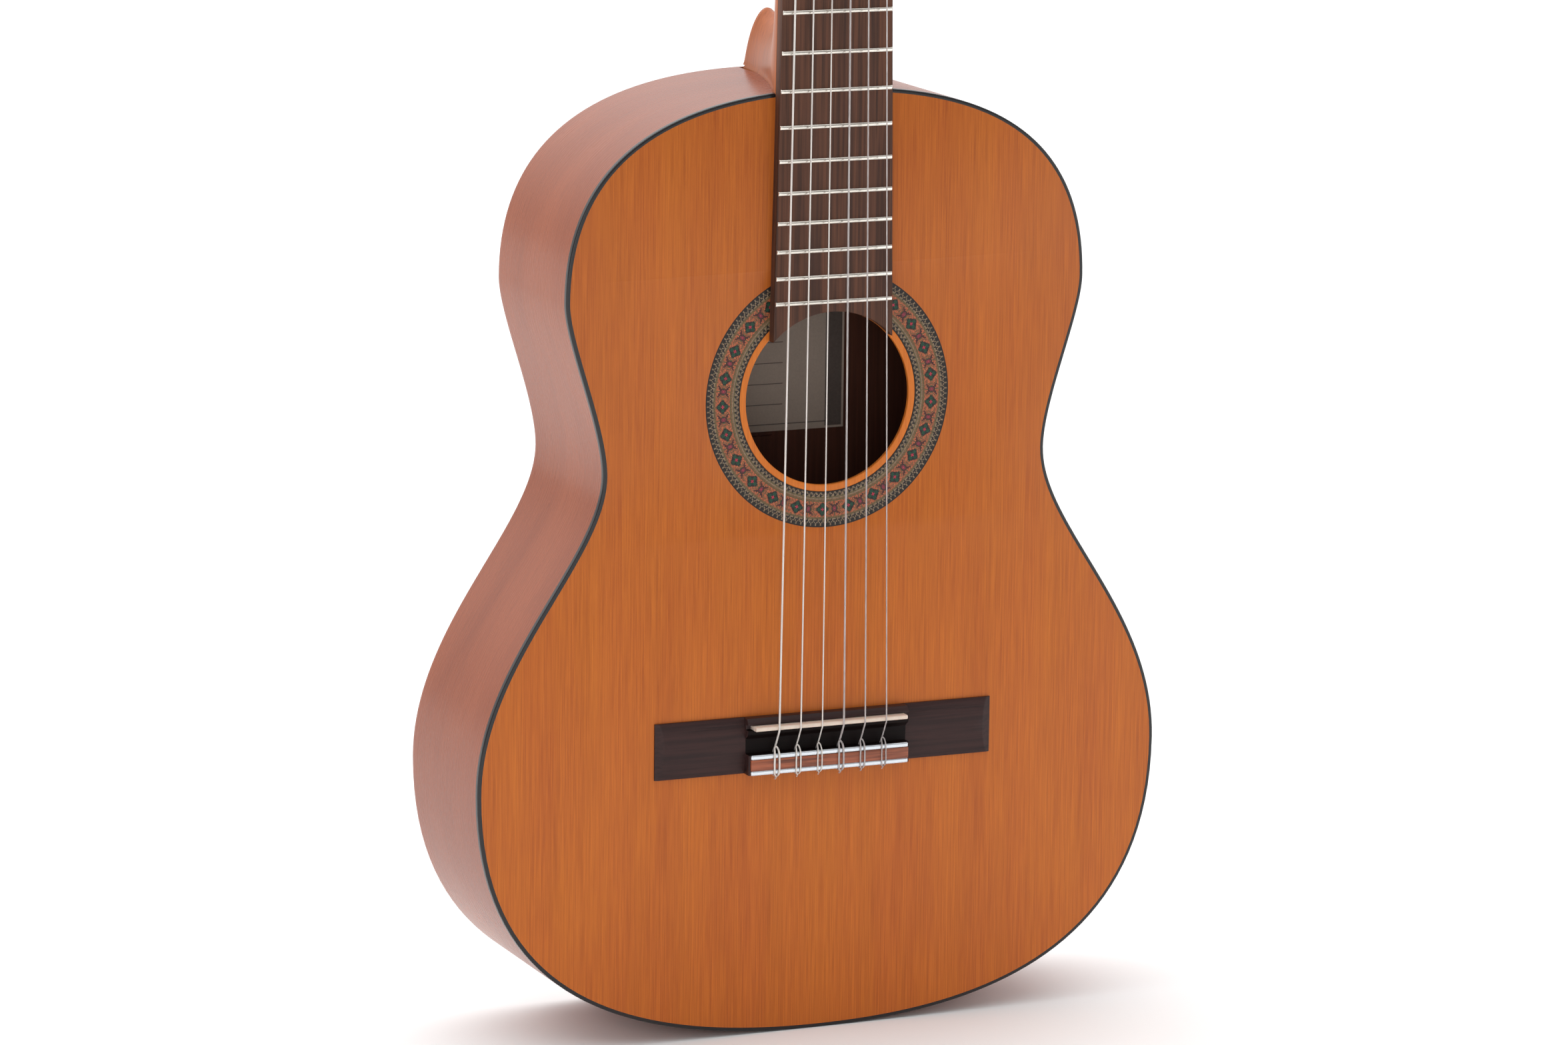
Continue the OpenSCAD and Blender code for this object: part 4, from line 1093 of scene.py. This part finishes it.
def gear(i):
    side, z, name = side_of(i), roller_height(i), string_label(i)
    root_r, pitch_r, tip_r = 4.3, 5.0, 5.7
    tooth = ((root_r, -0.6), (pitch_r, -0.42), (tip_r, -0.26), (tip_r, 0.26), (pitch_r, 0.42), (root_r, 0.6))
    outline = []
    for k in range(GEAR_TEETH):
        for r, w in tooth:
            a = 2 * pi * (k + 0.5) / GEAR_TEETH + math.atan2(w, r)
            outline.append((math.hypot(r, w) * sin(a), math.hypot(r, w) * cos(a)))
    rings = []
    for x, shrink in ((0.0, 0.96), (0.25, 1.0), (GEAR_W - 0.25, 1.0), (GEAR_W, 0.96)):
        rings.append([(side * (GEAR_X + x), ROLLER_Y + u * shrink, z + v * shrink) for u, v in outline])
    hub = side_turned(side, ((35.9, 2.5), (37.5, 2.5), (37.5, 3.6), (37.7, 3.8), (39.7, 3.8)), 0, z, 28)
    face = GEAR_X + GEAR_W
    head = side_turned(side, ((face - 0.1, 2.9), (face + 0.6, 2.9), (face + 1.0, 2.5),
                              (face + 1.2, 1.6), (face + 1.2, 0.0)), 0, z, 28)
    # The head's slot is a black bar: painted shade for the groove.
    slot = side_block(side, (face + 0.9, face + 1.22), (ROLLER_Y - 2.2, ROLLER_Y + 2.2), (z - 0.3, z + 0.3))
    mesh = joined([skin(rings, HEAD_FRAME), with_index(hub, 1), with_index(head, 1), with_index(slot, 2)])
    add_piece("gear_" + name, "gear_brass", "gear_wheel_" + name, mesh, [M["gear"], M["steel"], M["black"]],
              "roller_set_" + name)


def worm(i):
    side, z, name = side_of(i), roller_height(i) + WORM_GAP, string_label(i)
    core_r, tip_r, turns, per = 2.1, 3.6, 3.5, 28
    x, rings = side * WORM_X, []
    count = int(turns * per)
    for k in range(count + 1):
        a = (k - count / 2) * 2 * pi / per
        y = ROLLER_Y + WORM_LEAD * a / (2 * pi)
        fade = min(1.0, k / 5 + 0.15, (count - k) / 5 + 0.15)
        tip = core_r + (tip_r - core_r) * fade
        out = (-sin(a), -cos(a))
        rings.append([(x + r * out[0], y + w, z + r * out[1])
                      for r, w in ((core_r - 0.2, -0.52), (core_r - 0.2, 0.52), (tip, 0.22), (tip, -0.22))])
    thread = skin(rings, HEAD_FRAME)
    shaft = turned([(a - ROLLER_Y, r) for a, r in (
        (ROLLER_Y - 7.4, 1.3), (ROLLER_Y - 7.2, 1.5), (ROLLER_Y - 5.2, 1.5), (ROLLER_Y - 5.2, 2.1),
        (ROLLER_Y + 5.2, 2.1), (ROLLER_Y + 5.2, 1.5), (KNOB_LOW + 4, 1.5))],
        (x, ROLLER_Y, z), "Y", 24, HEAD_FRAME)
    add_piece("worm_" + name, "worm_steel", "worm_shaft_" + name, joined([thread, shaft]), M["steel"],
              "knob_set_" + name, 40)


def knob(i):
    """A flattened oval button on a turned brass collar."""
    side, z, name = side_of(i), roller_height(i) + WORM_GAP, string_label(i)
    x, thick = side * WORM_X, 7.6
    middle, rings = KNOB_LOW + 3 + KNOB_R, []
    rows, around = 18, 32
    for k in range(rows + 1):
        t = k / rows
        y = middle - KNOB_R + 2 * KNOB_R * t
        width = KNOB_R * max(0.02, sin(math.acos(max(-1, min(1, 1 - 2 * t))))) ** 0.72
        flat = thick / 2 * max(0.05, sin(pi * min(max(t, 0.01), 0.99))) ** 0.38
        rings.append([(x + flat * math.copysign(abs(cos(a)) ** 0.8, cos(a)), y,
                       z + width * math.copysign(abs(sin(a)) ** 0.8, sin(a)))
                      for a in (2 * pi * j / around for j in range(around))])
    button = skin(rings, HEAD_FRAME)
    collar = turned([(0, 2.2), (0.3, 3.2), (1.2, 3.4), (2.2, 2.7), (3.4, 2.6), (4.6, 3.0)],
                    (x, KNOB_LOW, z), "Y", 28, HEAD_FRAME)
    add_piece("knob_" + name, "knob_pearl", "knob_button_" + name, joined([button, with_index(collar, 1)]),
              [M["pearl"], M["brass"]], "knob_set_" + name, 50)


# ---- Light, floor and camera ----

def studio():
    """A wide white floor under an even sky, which is brighter behind the guitar, and two soft lamps."""
    n = Nodes("studio", "worlds", "Background")
    bpy.context.scene.world = n.material
    axes = n.axes("Generated")
    behind, above = (n.mapped(axes[axis], {"From Min": low, "From Max": high, "To Min": 0.0, "To Max": top},
                              interpolation_type="SMOOTHSTEP")
                     for axis, low, high, top in (("Y", -0.5, 0.5, 1.0), ("Z", 0.02, 0.5, 0.95)))
    glow = n.maths("ADD", above, 0.45)
    n.link(n.maths("MULTIPLY_ADD", behind, glow, 0.32), n.shader.inputs["Strength"])
    n.set(Color=(1, 1, 1, 1))
    half = 30.0
    mesh = bpy.data.meshes.new("floor")
    mesh.from_pydata([(-half, -half, 0), (half, -half, 0), (half, half, 0), (-half, half, 0)], [], [(0, 1, 2, 3)])
    floor = bpy.data.objects.new("floor", mesh)
    bpy.context.scene.collection.objects.link(floor)
    mesh.materials.append(plain("white_floor", (250, 250, 250), 0.9, tone=0.004, bump=0.0,
                                Specular_IOR_Level=0.0))
    data = bpy.data.lights.new("overhead", "SUN")
    data.energy = 1.1
    data.angle = radians(80)
    overhead = bpy.data.objects.new("overhead", data)
    overhead.rotation_euler = (radians(6), radians(-4), 0)
    bpy.context.scene.collection.objects.link(overhead)
    lamp("key", (-1.3, -2.9, 0.9), (0, 0, 0.2), 1.6, 14)
    lamp("fill", (2.6, -1.8, 0.6), (0, 0, 0.2), 1.4, 9)


def lamp(name, where, target, size, watts):
    data = bpy.data.lights.new(name, "AREA")
    data.shape = "DISK"
    data.size = size
    data.energy = watts
    obj = bpy.data.objects.new(name, data)
    obj.location = where
    obj.rotation_euler = (Vector(target) - Vector(where)).to_track_quat("-Z", "Y").to_euler()
    bpy.context.scene.collection.objects.link(obj)


def camera():
    eye = (-1277.3, -2890.3, 902.8)
    yaw, pitch, roll = radians(23.467), radians(11.202), radians(0.705)
    data = bpy.data.cameras.new("camera")
    data.sensor_width = 36
    data.lens = 144.7
    data.shift_x, data.shift_y = -0.0012, -0.0121
    data.clip_start, data.clip_end = 0.1, 50
    ahead = Vector((sin(yaw) * cos(pitch), cos(yaw) * cos(pitch), -sin(pitch)))
    right = Vector((cos(yaw), -sin(yaw), 0))
    up = right.cross(ahead)
    right, up = (cos(roll) * right + sin(roll) * up, cos(roll) * up - sin(roll) * right)
    obj = bpy.data.objects.new("camera", data)
    turn = Matrix((right, up, -ahead)).transposed().to_4x4()
    obj.matrix_world = Matrix.Translation(place(eye)) @ turn
    bpy.context.scene.collection.objects.link(obj)
    bpy.context.scene.camera = obj


bpy.context.scene.view_settings.view_transform = "Standard"

soundboard()
back()
rib_wall(-1, "rib_bass")
rib_wall(1, "rib_treble")
bindings()
rosette()
label()
bridge()
saddle_and_trim()
neck()
inner_blocks()
fingerboard()
frets()
nut()
headstock()
strings()
tuner_plates()
screws()
for number in range(6):
    roller(number)
    gear(number)
    worm(number)
    knob(number)

for node_name, material_name in {
    "tail_block": "lining", "top_linings": "lining", "back_linings": "lining", "fan_braces": "spruce",
    "harmonic_bars": "spruce", "soundhole_patch": "cedar_edge", "back_braces": "spruce",
    "back_seam_strip": "shaded_inside", "tail_graft": "ebony",
}.items():
    dress(node_name, material_name)

studio()
camera()
